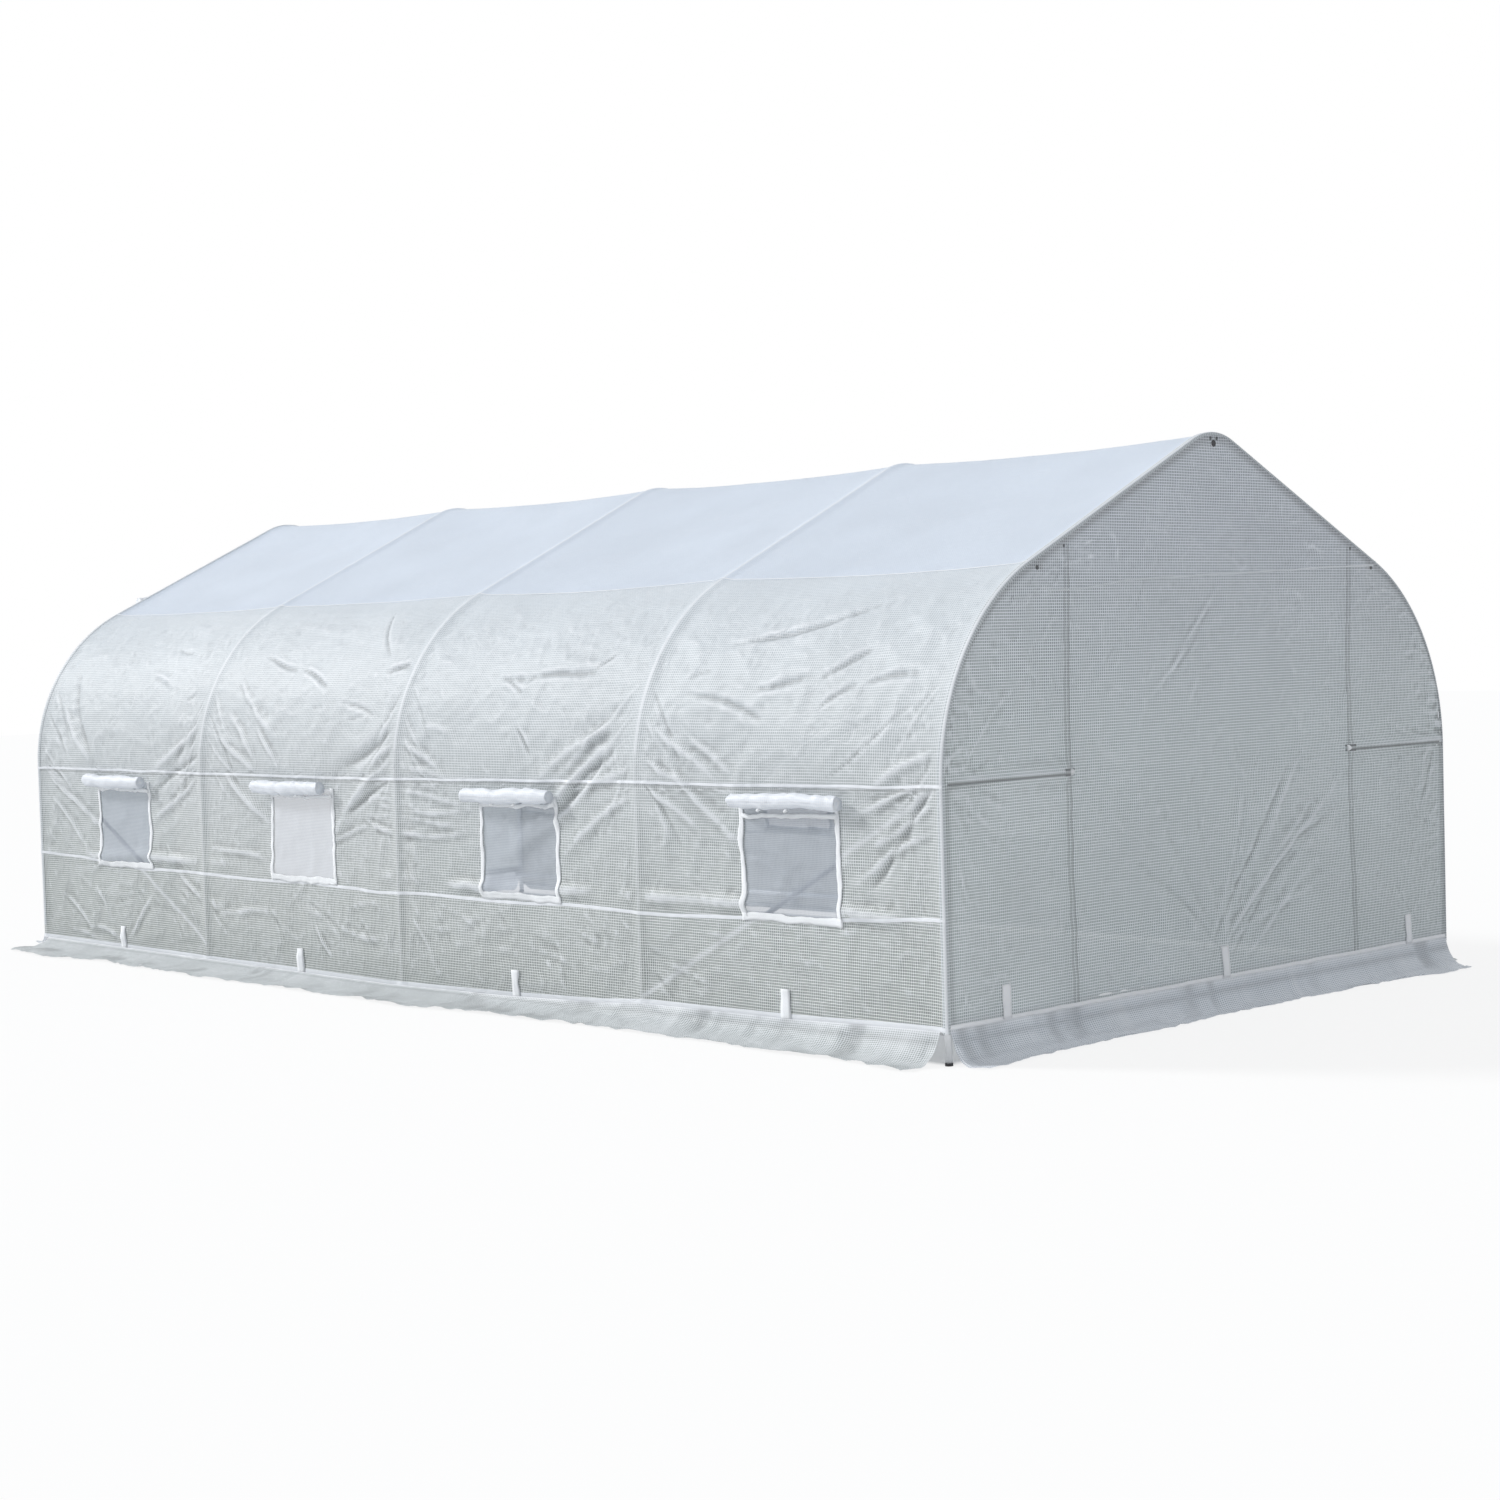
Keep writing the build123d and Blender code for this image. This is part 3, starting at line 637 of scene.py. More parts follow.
# Start and end of each fold as read in its view (across, down, across, down), half width and height in metres.
read_folds = {
    "near bay": [
        (590, 590, 1160, 430, 0.016, -0.009), (660, 735, 900, 700, 0.014, -0.008),
        (900, 700, 1120, 590, 0.014, -0.008), (900, 810, 1060, 712, 0.012, -0.007),
        (1060, 712, 1290, 682, 0.012, -0.007), (440, 750, 720, 850, 0.014, -0.007),
        (905, 1080, 1260, 800, 0.006, -0.004), (440, 710, 540, 665, 0.008, -0.003),
        (330, 860, 560, 1100, 0.022, 0.010), (380, 1000, 650, 1340, 0.026, 0.013),
        (310, 1100, 500, 1260, 0.020, 0.007), (450, 900, 600, 1060, 0.016, 0.007),
        (300, 1000, 440, 1080, 0.012, 0.006), (200, 850, -60, 1080, 0.022, 0.010),
        (180, 960, -200, 1300, 0.028, 0.013), (150, 1080, -250, 1360, 0.026, 0.010),
        (1340, 960, 1080, 1110, 0.020, 0.009), (1330, 1080, 1210, 1290, 0.014, -0.009),
        (1215, 1280, 1090, 1470, 0.012, -0.007), (1270, 1110, 1010, 1190, 0.014, 0.007),
        (1350, 1160, 1100, 1300, 0.014, 0.007), (1330, 1250, 1030, 1440, 0.014, 0.006),
    ],
    "middle bays": [
        (480, 500, 620, 480, 0.014, -0.006), (590, 490, 850, 455, 0.013, -0.010),
        (830, 462, 915, 395, 0.010, -0.006), (500, 488, 572, 538, 0.007, -0.006),
        (540, 660, 592, 762, 0.008, -0.006), (70, 470, 200, 440, 0.010, -0.006),
        (112, 250, 105, 425, 0.009, -0.005), (905, 640, 620, 860, 0.026, 0.012),
        (900, 750, 690, 975, 0.026, -0.013), (960, 800, 760, 900, 0.020, 0.008),
        (985, 900, 690, 1130, 0.024, 0.009), (130, 790, 330, 870, 0.016, 0.007),
        (140, 700, 300, 850, 0.016, 0.007), (210, 650, 330, 700, 0.010, 0.004),
        (0, 945, 410, 962, 0.010, 0.006), (0, 1000, 400, 1005, 0.010, 0.005),
        (0, 1030, 420, 1042, 0.010, 0.006), (60, 905, 400, 930, 0.010, 0.005),
    ],
    "far bays": [
        (915, 380, 1060, 425, 0.010, -0.009), (1050, 420, 1165, 492, 0.010, -0.010),
        (1200, 540, 1340, 610, 0.008, -0.007), (1370, 440, 1500, 405, 0.010, -0.008),
        (1210, 622, 1310, 608, 0.007, -0.004), (1090, 575, 1140, 572, 0.008, -0.003),
        (575, 345, 640, 360, 0.012, -0.005), (600, 550, 640, 525, 0.008, -0.005),
        (470, 430, 560, 490, 0.014, 0.004), (660, 640, 470, 840, 0.024, 0.011),
        (680, 720, 450, 960, 0.022, -0.010), (640, 850, 470, 1040, 0.018, 0.008),
        (745, 690, 880, 850, 0.020, 0.010), (760, 830, 935, 1060, 0.026, 0.013),
        (770, 600, 890, 800, 0.018, 0.008), (850, 520, 950, 700, 0.016, 0.006),
        (880, 640, 965, 830, 0.014, 0.007), (820, 470, 860, 560, 0.010, 0.005),
        (1430, 640, 1180, 870, 0.030, -0.015), (1440, 700, 1300, 840, 0.018, 0.009),
        (1420, 760, 1165, 1080, 0.030, 0.012), (1400, 880, 1180, 1010, 0.016, -0.008),
        (1165, 1095, 1310, 1050, 0.010, 0.007), (1290, 1055, 1560, 1062, 0.010, 0.006),
        (1290, 1020, 1420, 1062, 0.009, 0.006), (1290, 942, 1560, 965, 0.010, 0.005),
        (560, 1230, 760, 1375, 0.018, 0.009), (740, 1370, 960, 1392, 0.016, 0.007),
        (700, 1110, 930, 1190, 0.014, 0.007), (120, 1300, 250, 1440, 0.014, 0.008),
        (240, 1430, 370, 1485, 0.014, 0.008), (380, 1480, 480, 1310, 0.014, 0.007),
        (160, 1440, 350, 1540, 0.014, 0.008), (70, 830, 260, 1060, 0.014, 0.007),
        (80, 930, 230, 1130, 0.020, 0.008), (130, 560, 235, 800, 0.022, 0.009),
        (190, 440, 240, 800, 0.030, -0.010), (1100, 1430, 1180, 1560, 0.010, 0.006),
        (1200, 1440, 1400, 1500, 0.014, 0.006),
    ],
    "end wall": [
        (1070, 390, 880, 710, 0.010, 0.006), (1390, 370, 1370, 460, 0.010, 0.005),
        (1510, 1050, 1230, 1560, 0.024, 0.012), (1560, 1150, 1400, 1300, 0.016, -0.008),
        (1480, 900, 1300, 1310, 0.020, 0.008), (1400, 950, 1310, 1210, 0.016, 0.006),
        (1060, 600, 1020, 740, 0.016, 0.005), (1420, 600, 1360, 760, 0.012, 0.004),
        (350, 230, 310, 340, 0.008, -0.004), (1440, 1250, 1260, 1500, 0.016, 0.008),
    ],
}


def placed_folds(view, place):
    """The folds of one view with their ends as places on the film, in metres to the nearest millimetre."""
    corner_x, corner_y, zoom = views[view]
    folds = []
    for x0, y0, x1, y1, width, tall in read_folds[view]:
        start = place(corner_x + x0 / zoom, corner_y + y0 / zoom)
        stop = place(corner_x + x1 / zoom, corner_y + y1 / zoom)
        folds.append((*np.round([*start, *stop], 3), width, tall))
    return folds


main_side_folds = [fold for view in ("near bay", "middle bays", "far bays")
                   for fold in placed_folds(view, place_on_side)]
# The last six of the plain end's folds fan out of its middle strap and its top, and were placed in metres.
main_end_folds = placed_folds("end wall", place_on_end) + [
    (-0.020, 0.190, 0.800, 0.870, 0.018, 0.012), (0.020, 0.180, 0.760, 0.740, 0.020, -0.010),
    (0.100, 0.190, 0.620, 0.500, 0.020, 0.009), (-0.040, 0.230, 0.420, 0.900, 0.018, -0.008),
    (-0.060, 0.230, 0.180, 0.950, 0.020, 0.007), (0.020, 1.560, -0.300, 1.180, 0.012, 0.007),
]
print(len(main_side_folds), "main folds on a side and", len(main_end_folds), "on the end")


# %% Which folds a side has
def side_folds(seed):
    """Folds of one side: the main ones, smaller swags that hang from the hoops, and packing creases."""
    random = np.random.default_rng(seed)
    waist = way_at(0.9)
    wider, taller = 1.1, 1.9
    folds = [(*ends, wider * width, taller * tall) for *ends, width, tall in main_side_folds]
    for x in hoop_x:
        for way in (-1, 1):
            if abs(x + way * 0.3) > half_length:
                continue
            for k in range(4):
                start_x = x + way * random.uniform(0.01, 0.03)
                start_way = waist - 0.04 - 0.11 * k + random.uniform(-0.03, 0.03)
                aside, down = random.uniform(0.18, 0.34), random.uniform(0.16, 0.34) + 0.02 * k
                width = random.uniform(0.009, 0.018)
                tall = random.uniform(0.003, 0.007) * random.choice((1, -1))
                folds.append((start_x, start_way, start_x + way * aside, start_way + down, width, tall))
    for _ in range(260):
        x, way = random.uniform(-2.9, 2.9), random.uniform(rafter_to + 0.05, base_way - 0.05)
        angle, reach = random.normal(0.0, 0.7), random.uniform(0.04, 0.15)
        folds.append((x, way, x + reach * np.cos(angle), way + reach * np.sin(angle),
                      random.uniform(0.005, 0.010), random.uniform(-0.0038, 0.0038)))
    for _ in range(60):
        x, way = random.uniform(-2.9, 2.9), random.uniform(lower_top, base_way - 0.10)
        angle, reach = random.normal(0.30, 0.4), random.uniform(0.12, 0.38)
        folds.append((x, way, x + reach * np.cos(angle), way + reach * np.sin(angle),
                      random.uniform(0.010, 0.018), random.uniform(0.003, 0.007) * random.choice((1, -1))))
    return folds


fold_tables = {-1: side_folds(11), 1: side_folds(47)}
# The film passes the shoulder rail a little further out than the rail's middle.
purlin_shift = 0.0107
purlin_way = rafter_from + (shoulder_y + purlin_shift - head_y) / np.cos(pitch)
slack_way = [0, 0.45, purlin_way, rafter_to + 0.15, rafter_to + 0.5, way_at(0.9), way_at(0.6), way_at(0.25),
             base_way]
slack_depth = [0.016, 0.026, 0.014, 0.012, 0.012, 0.008, 0.014, 0.013, 0.004]
rail_ways = [0.0, purlin_way, way_at(waist_z), base_way]


def side_height(x, way, side):
    """How far a side's film stands out of its plain outline.

    The film leaves each hoop in a short curve and sags in a parabola between two hoops, as deep as the table
    says. Folds, hills, crumples and one long bulge under the windows are added, and all of them fade out on the
    hoops, where the film is tight, and along the hem. Nothing goes deeper than the rails behind the film allow.
    """
    place = np.clip((x - hoop_x[0]) / bay, 0, 3.9999)
    part = place - np.floor(place)
    nearest = np.min(np.abs(x[..., None] - hoop_x), axis=-1)
    inside = np.abs(x) < hoop_x[-1]
    leave = 1 - np.exp(-(nearest / 0.030)**2)
    tight = 1 - np.exp(-(nearest / 0.045)**2)
    wall = np.clip((way - rafter_to) / 0.25, 0, 1)
    seed = 5 if side < 0 else 105
    height = -np.interp(way, slack_way, slack_depth) * 4 * part * (1 - part) - 0.0065 * leave * inside
    loose = add_folds(np.zeros_like(height), x, way, fold_tables[side])
    loose += 0.0045 * hills(x, way, 0.31, seed) * (0.3 + 0.7 * wall)
    loose += 0.0027 * crumple(x, way, 0.16, seed + 2) * (0.15 + 0.85 * wall)
    loose += 0.0013 * crumple(x, way, 0.060, seed + 6) * (0.08 + 0.92 * wall)
    bulge_at = way_at(0.470 + 0.012 * hills(x, 0 * x, 0.4, seed + 9))
    bulge = np.clip(0.6 + hills(x, 0 * x + 4, 0.22, seed + 10), 0, 1)
    loose += 0.019 * bulge * np.exp(-((way - bulge_at) / 0.026)**2)
    held = np.clip((way_at(np.interp(x, hem_x, hem_z)) - way) / 0.06, 0, 1)
    to_rail = np.min(np.abs(way[..., None] - rail_ways), axis=-1)
    deepest = -0.0225 - 0.03 * np.clip((to_rail - 0.03) / 0.08, 0, 1)
    return np.clip(height + loose * tight * held, deepest, 0.022)


# %% [markdown]
# ## The two long sides
# Each side is cut as the real one is: a roof sheet, an eaves sheet, a band with the windows and a lower sheet,
# welded along their edges. The columns of the grid crowd together near the hoops, where the film turns
# sharply, and lie exactly on the window edges, so that the openings can be left out of the grid.

# %% Columns and marks
def columns_of():
    """Positions along the tunnel, closer near the hoops, and exactly on each window's two edges."""
    beside, across = 52, 38
    eased = np.linspace(0, 1, beside)
    eased = eased - 0.55 * np.sin(np.pi * eased) / np.pi * (1 - eased)
    spots = [-half_length - 0.0015, half_length + 0.0015]
    for start, middle, stop in zip(hoop_x[:-1], window_x, hoop_x[1:]):
        spots += list(start + (middle - window_half - start) * eased)
        spots += list(np.linspace(middle - window_half, middle + window_half, across))
        spots += list(stop - (stop - middle - window_half) * eased)
    return np.unique(np.round(spots, 6))


def bends(height, x, way):
    """Ridges and hollows, each 0 to 1, from the second differences of the sheet's height."""
    step_x, step_way = np.gradient(x, axis=1), np.gradient(way, axis=0)
    bend = np.gradient(np.gradient(height, axis=1) / step_x, axis=1) / step_x
    bend = bend + np.gradient(np.gradient(height, axis=0) / step_way, axis=0) / step_way
    return np.clip((-bend - 5.0) / 26, 0, 1), np.clip((bend - 6.0) / 34, 0, 1)


def pressed_and_lit_on_tubes(x, z):
    """1 where the film lies on or close before a tube of the side frame, fading to 0 over a tube's width; along
    the hoops it is partly painted highlight.
    """
    nearest = np.min(np.abs(x[..., None] - hoop_x), axis=-1)
    # Stronger above 1 m: on the roof and eaves the pale line along each hoop is painted highlight as well as
    # pressed film.
    mark = np.exp(-(nearest / 0.009)**2) * np.where(z > 1.0, 1.0, 0.45)
    mark = np.maximum(mark, 0.30 * np.exp(-((z - waist_z) / 0.011)**2))
    run_x, run_z = bay - 0.0375, waist_z - base_z
    length = np.hypot(run_x, run_z)
    off = ((np.abs(x) - hoop_x[3]) * run_z - (z - base_z) * run_x) / length
    inside = (z > base_z) & (z < waist_z) & (np.abs(x) > hoop_x[3])
    return np.maximum(mark, 0.8 * np.exp(-(off / 0.009)**2) * inside)


columns = columns_of()
print(len(columns), "columns along the tunnel")


# %% Roof, eaves, window band and lower sheet
def side_sheet(side, ways, holes=False, droops=False):
    """Grid of one sheet: the film outline carried along X, pushed outwards by the side's height.

    A sheet that droops is stretched downwards, until its last row lies on the hem.
    """
    x, way = np.meshgrid(columns, ways)
    if droops:
        way = way + (way - ways[0]) / (base_way - ways[0]) * (way_at(np.interp(x, hem_x, hem_z)) - base_way)
    height = side_height(x, way, side)
    y, z, out_y, out_z = hoop_outline(way, film_offset)
    points = np.stack([x, side * (y + out_y * height), z + out_z * height], axis=-1)
    # Marks painted into the film's colour: painted highlight on the ridges of folds, painted shade in their
    # hollows, and a thin line of painted shadow just under the waist seam.
    ridge, hollow = bends(height, x, way)
    off_hoop = 1 - np.exp(-(np.min(np.abs(x[..., None] - hoop_x), axis=-1) / 0.04)**2)
    seam_shadow = 0.42 * np.exp(-((z + 0.012 - np.interp(x, seam_x, seam_z)) / 0.0032)**2)
    marks = {"press": pressed_and_lit_on_tubes(x, z), "crease": ridge * off_hoop,
             "shade": np.maximum(0.42 * hollow * off_hoop, seam_shadow)}
    grid = {"points": points, "uv": np.stack([x, way], axis=-1), "marks": marks, "flip": side > 0}
    if holes:
        middle_x = (columns[:-1] + columns[1:]) / 2
        middle_way = (ways[:-1] + ways[1:]) / 2
        in_x = np.min(np.abs(middle_x[:, None] - window_x), axis=1) < window_half
        in_way = (middle_way > way_at(window_high)) & (middle_way < way_at(window_low))
        grid["keep"] = ~(in_way[:, None] & in_x[None, :])
    return grid


weld_rows = np.concatenate([[0.895], np.arange(0.893, 0.856, -0.003), [0.850, 0.842, 0.834]])
band_rows = np.unique(np.round(np.concatenate([
    way_at(weld_rows), np.linspace(way_at(window_high), way_at(window_low), 40),
    np.linspace(way_at(window_low), lower_top, 4)]), 6))
lower_rows = np.linspace(lower_top, base_way, 34)
sheets = {
    "roof": (np.linspace(0, rafter_to, 50), "roof_cover", roof_film, "roof_film", "rafters"),
    "eave": (np.linspace(rafter_to, bend_to, 88), "eave_cover", eave_film, "roof_film", "leg_tubes"),
    "band": (band_rows, "window_band", band_film, "wall_film", "leg_tubes"),
    "lower": (lower_rows, "lower_cover", lower_film, "wall_film", "leg_tubes"),
}
droop = base_z - min(hem_z)
for side_name, side in sides.items():
    for sheet_name, (ways, node, material, slot, holder) in sheets.items():
        grid = side_sheet(side, ways, sheet_name == "band", sheet_name == "lower")
        piece = make_piece(f"{sheet_name}_sheet_{side_name}", [grid], material, [f"{node}_{side_name}"])
        tall = float(ways[-1] - ways[0])
        tall = {"eave": tall * 1.018, "lower": tall + droop}.get(sheet_name, tall)

# %% [markdown]
# ## The skirts
# Below the base rail the film turns outwards, falls to the ground in a curve and lies there in a strip that is
# weighed down with soil in use. Its edge is wavy, because nothing holds it straight. The curve is a Bezier
# curve of three points, and ripples grow towards the edge. Where the edge lies is a short list of places.

# %% Skirts along the sides and ends
def skirt_grid(run, reach, top, carry, seed):
    """Grid of a skirt: a curve from the rail to the ground, then flat out to the edge.

    run is the position along the wall, reach how far the edge is from the wall, and carry turns
    (run, out, up) into a point.
    """
    part = np.linspace(0, 1, 26)[:, None]
    run, reach = run[None, :], reach[None, :]
    fall = np.clip(part / 0.55, 0, 1)
    flat = np.clip((part - 0.55) / 0.45, 0, 1)
    bend_out, foot = 0.022 + 0.006 * np.sin(run * 5.1 + seed), 0.105 + 0.012 * np.sin(run * 3.3 + seed)
    foot = np.minimum(foot, reach * 0.8)
    out = 2 * fall * (1 - fall) * bend_out + fall**2 * foot + flat * (reach - foot)
    up = (1 - fall)**2 * top + 2 * fall * (1 - fall) * np.minimum(0.012, 0.3 * top) + 0.0035
    across = np.broadcast_to(run, out.shape)
    ripple = 1.25 * hills(across, out, 0.13, seed) + 0.6 * hills(across, out * 0.4, 0.045, seed + 3)
    small = crumple(across, out, 0.05, seed + 5)
    up = up + part**2 * (0.010 * np.abs(ripple) + 0.002 * np.abs(small))
    up = up + 0.006 * fall * (1 - fall) * (ripple + 0.5 * small)
    out = out + (0.010 * ripple + 0.003 * small) * np.sin(np.pi * part)
    # Painted shade in a line under the hem and in the dips of the ripples, and painted highlight on their
    # crests.
    hem_shade, dip_shade = 0.25 * np.exp(-((part - 0.12) / 0.04)**2), np.clip(-ripple * 0.35 - 0.12, 0, 0.3)
    marks = {"press": np.broadcast_to(0.9 * np.exp(-(part / 0.045)**2), out.shape),
             "crease": np.clip(ripple * 0.6 - 0.25, 0, 0.5), "shade": np.maximum(hem_shade, dip_shade)}
    return {"points": carry(across, out, up), "uv": np.stack([across, out + top - up], axis=-1), "marks": marks}


def spaced(start, stop, corner, middle_count, corner_count):
    """Positions from start to stop, closer together in the two rounded corners."""
    return np.unique(np.concatenate([np.linspace(start, start + corner, corner_count),
                                     np.linspace(start + corner, stop - corner, middle_count),
                                     np.linspace(stop - corner, stop, corner_count)]))


def rounded_reach(run, reach, limits, corner=0.030):
    """The reach, drawn back in a quarter circle at both ends of the strip."""
    past = np.clip(corner - np.minimum(run - limits[0], limits[1] - run), 0, corner)
    return reach - corner + np.sqrt(np.maximum(corner**2 - past**2, 0))


edge_x = [-2.96, -2.59, -2.42, -2.13, -1.18, -0.42, 0.32, 0.86, 1.64, 2.28, 2.55, 2.88, 2.96]
edge_reach = [0.22, 0.255, 0.24, 0.19, 0.235, 0.22, 0.24, 0.165, 0.135, 0.145, 0.13, 0.17, 0.16]
skirt_run = spaced(-skirt_half, skirt_half, 0.045, 440, 12)
for side_name, side in sides.items():
    def carry(run, out, up, side=side):
        return np.stack([run, side * (leg_y + film_offset + out), up], axis=-1)
    reach = np.interp(skirt_run, edge_x, edge_reach) + 0.008 * np.sin(skirt_run * 9 + side)
    reach = rounded_reach(skirt_run, reach, (-skirt_half, skirt_half))
    grid = skirt_grid(skirt_run, reach, np.interp(skirt_run, hem_x, hem_z) - 0.0035, carry, 21 + side)
    grid["flip"] = side > 0
    piece = make_piece(f"skirt_sheet_{side_name}", [grid], skirt_film, [f"skirt_{side_name}"])

# %% [markdown]
# ## The end walls
# An end wall is a flat sheet cut to the outline of the hoop. Its grid has one column for each step along the
# hoop, from the base up to the outline, so that its edge follows the hoop exactly. All columns have as many
# points below the door's height as above it, and the doorway can be left out as the windows are.

# %% Folds and marks of an end wall
def end_folds(seed):
    """Folds of an end: the main ones, fans from the middle strap and the rail ends, and packing creases."""
    random = np.random.default_rng(seed)
    folds = list(main_end_folds)
    for angle in np.radians([20, 33, 44, 57, 70, 84, 103, 121, 142]):
        reach = random.uniform(0.35, 0.85)
        folds.append((0.02 * np.cos(angle), 0.22, reach * np.cos(angle), 0.22 + reach * np.sin(angle),
                      random.uniform(0.014, 0.026), random.uniform(0.003, 0.007) * random.choice((1, -1))))
    for y in (-1, 1):
        for angle in np.radians([-62, -38, -15, 20, 44, 70]):
            reach = random.uniform(0.25, 0.6)
            folds.append((y * 1.45, 0.9, y * (1.45 - reach * np.cos(angle)), 0.9 + reach * np.sin(angle),
                          random.uniform(0.012, 0.022), random.uniform(-0.004, 0.005)))
    for _ in range(150):
        y, z = random.uniform(-1.35, 1.35), random.uniform(0.2, 1.7)
        angle, reach = random.normal(1.2, 0.5), random.uniform(0.05, 0.22)
        folds.append((y, z, y + reach * np.cos(angle), z + reach * np.sin(angle),
                      random.uniform(0.005, 0.011), random.uniform(-0.003, 0.003)))
    return folds


end_steps = np.unique(np.concatenate([np.linspace(0, bend_to, 170), [rafter_from]]))
outline_y, outline_z, _, _ = hoop_outline(end_steps, film_offset)
outline_y, kept = np.unique(np.round(outline_y, 6), return_index=True)
outline_z = outline_z[kept]
end_fold_tables = {1: end_folds(31), -1: end_folds(61)}


def end_height(y, z, end):
    """How far an end wall stands out: folds and hills, fading out along the hoop, the rails and the plugs."""
    seed = 31 if end > 0 else 61
    top = np.interp(np.abs(y), outline_y, outline_z)
    height = add_folds(np.zeros_like(z), y, z, end_fold_tables[end])
    height += 0.0045 * hills(y, z, 0.33, seed) + 0.0021 * crumple(y, z, 0.15, seed + 2)
    height += 0.0010 * crumple(y, z, 0.055, seed + 5)
    edge = np.minimum(top - z, np.where(z < bend_start, leg_y + film_offset - np.abs(y), 1.0))
    rail = np.abs(z - cross_rail_z) + 10 * np.clip(post_y - np.abs(y), 0, 1)
    plug = np.hypot(np.abs(y) - shoulder_y, z - shoulder_z)
    free = (1 - np.exp(-(edge / 0.05)**2)) * (1 - np.exp(-(rail / 0.03)**2)) * (1 - np.exp(-(plug / 0.03)**2))
    free = free * np.clip((z - end_base_z) / 0.05, 0, 1)
    if end < 0:
        free = free * np.clip(np.maximum(np.abs(y) - door_half, z - door_height) / 0.05, 0, 1)
    bulge = -0.012 * np.clip(edge / 0.5, 0, 1) * np.clip((z - end_base_z) / 0.5, 0, 1)
    return np.clip(bulge + height, -0.022, 0.010) * free, edge


def end_sheet(end):
    """Grid of an end wall, pushed outwards by its height."""
    half_y, half_z = outline_y.copy(), outline_z.copy()
    door_column = np.argmin(np.abs(half_y - door_half))
    half_z[door_column] = np.interp(door_half, outline_y, outline_z)
    half_y[door_column] = door_half
    y = np.concatenate([-half_y[::-1], half_y[1:]])
    top = np.concatenate([half_z[::-1], half_z[1:]])
    door_top = np.interp(door_half, half_y, half_z)
    share = (door_height - end_base_z) / (door_top - end_base_z)
    split_z = np.where(np.abs(y) <= door_half, door_height, end_base_z + share * (top - end_base_z))
    rows_to_door, rows_above = 150, 30
    low, high = np.linspace(0, 1, rows_to_door)[:, None], np.linspace(0, 1, rows_above)[1:, None]
    z = np.concatenate([end_base_z + low * (split_z - end_base_z), split_z + high * (top - split_z)])
    y = np.broadcast_to(y, z.shape).copy()
    height, edge = end_height(y, z, end)
    points = np.stack([end * (half_length + end_film_lift + height), y, z], axis=-1)
    grid = {"points": points, "uv": np.stack([y, z], axis=-1), "flip": end < 0}
    # Painted highlight on the ridges, and painted shade in the hollows and in a band along the edge, where the
    # end hoop stands behind the film.
    ridge, hollow = bends(height, y, z)
    inside = np.clip((edge - 0.03) / 0.03, 0, 1)
    shade = np.maximum(0.42 * hollow * inside, 0.22 * np.exp(-((edge - 0.024) / 0.012)**2))
    press = 0.8 * np.exp(-((z - end_rail_z) / 0.012)**2)
    grid["marks"] = {"press": press, "crease": ridge * inside, "shade": shade}
    if end < 0:
        middle_y = (y[0, :-1] + y[0, 1:]) / 2
        below = np.arange(z.shape[0] - 1) < rows_to_door - 1
        grid["keep"] = ~((np.abs(middle_y) < door_half)[None, :] & below[:, None])
    return grid


for end, end_name, area in ((1, "front", 4.98), (-1, "back", 2.74)):
    piece = make_piece(f"end_sheet_{end_name}", [end_sheet(end)], end_film,
                       [f"end_cover_{end_name}"])

# %% Skirts of the ends
end_edge_y = [-1.46, -1.38, -1.02, -0.6, -0.08, 0.43, 0.94, 1.31, 1.46]
end_edge_reach = [0.12, 0.125, 0.085, 0.09, 0.055, 0.05, 0.07, 0.105, 0.12]
stretches = {"front": [(-end_skirt_half, end_skirt_half)],
             "back": [(-end_skirt_half, -door_half), (door_half, end_skirt_half)]}
for end, end_name, area in ((1, "front", 0.52), (-1, "back", 0.272)):
    def carry(run, out, up, end=end):
        return np.stack([end * (half_length + end_film_lift + out), run, up], axis=-1)
    grids = []
    for start, stop in stretches[end_name]:
        run = spaced(start, stop, 0.045, 200, 10)
        reach = np.interp(run, end_edge_y, end_edge_reach) + 0.02 + 0.005 * np.sin(run * 11)
        reach = rounded_reach(run, reach, (start, stop), 0.045)
        grid = skirt_grid(run, reach, end_base_z - 0.0035, carry, 71 + end)
        grid["flip"] = end < 0
        grids.append(grid)
    piece = make_piece(f"skirt_sheet_{end_name}", grids, end_skirt_film, [f"skirt_{end_name}"])

# %% [markdown]
# ## Tubes
# The solids of the frame have twelve flats, which is plain in a close view. Round tubes are a circle carried
# along a path. Each rail is a tube for each bay, and a thinner sleeve shows where the parts of a hoop plug
# into each other.

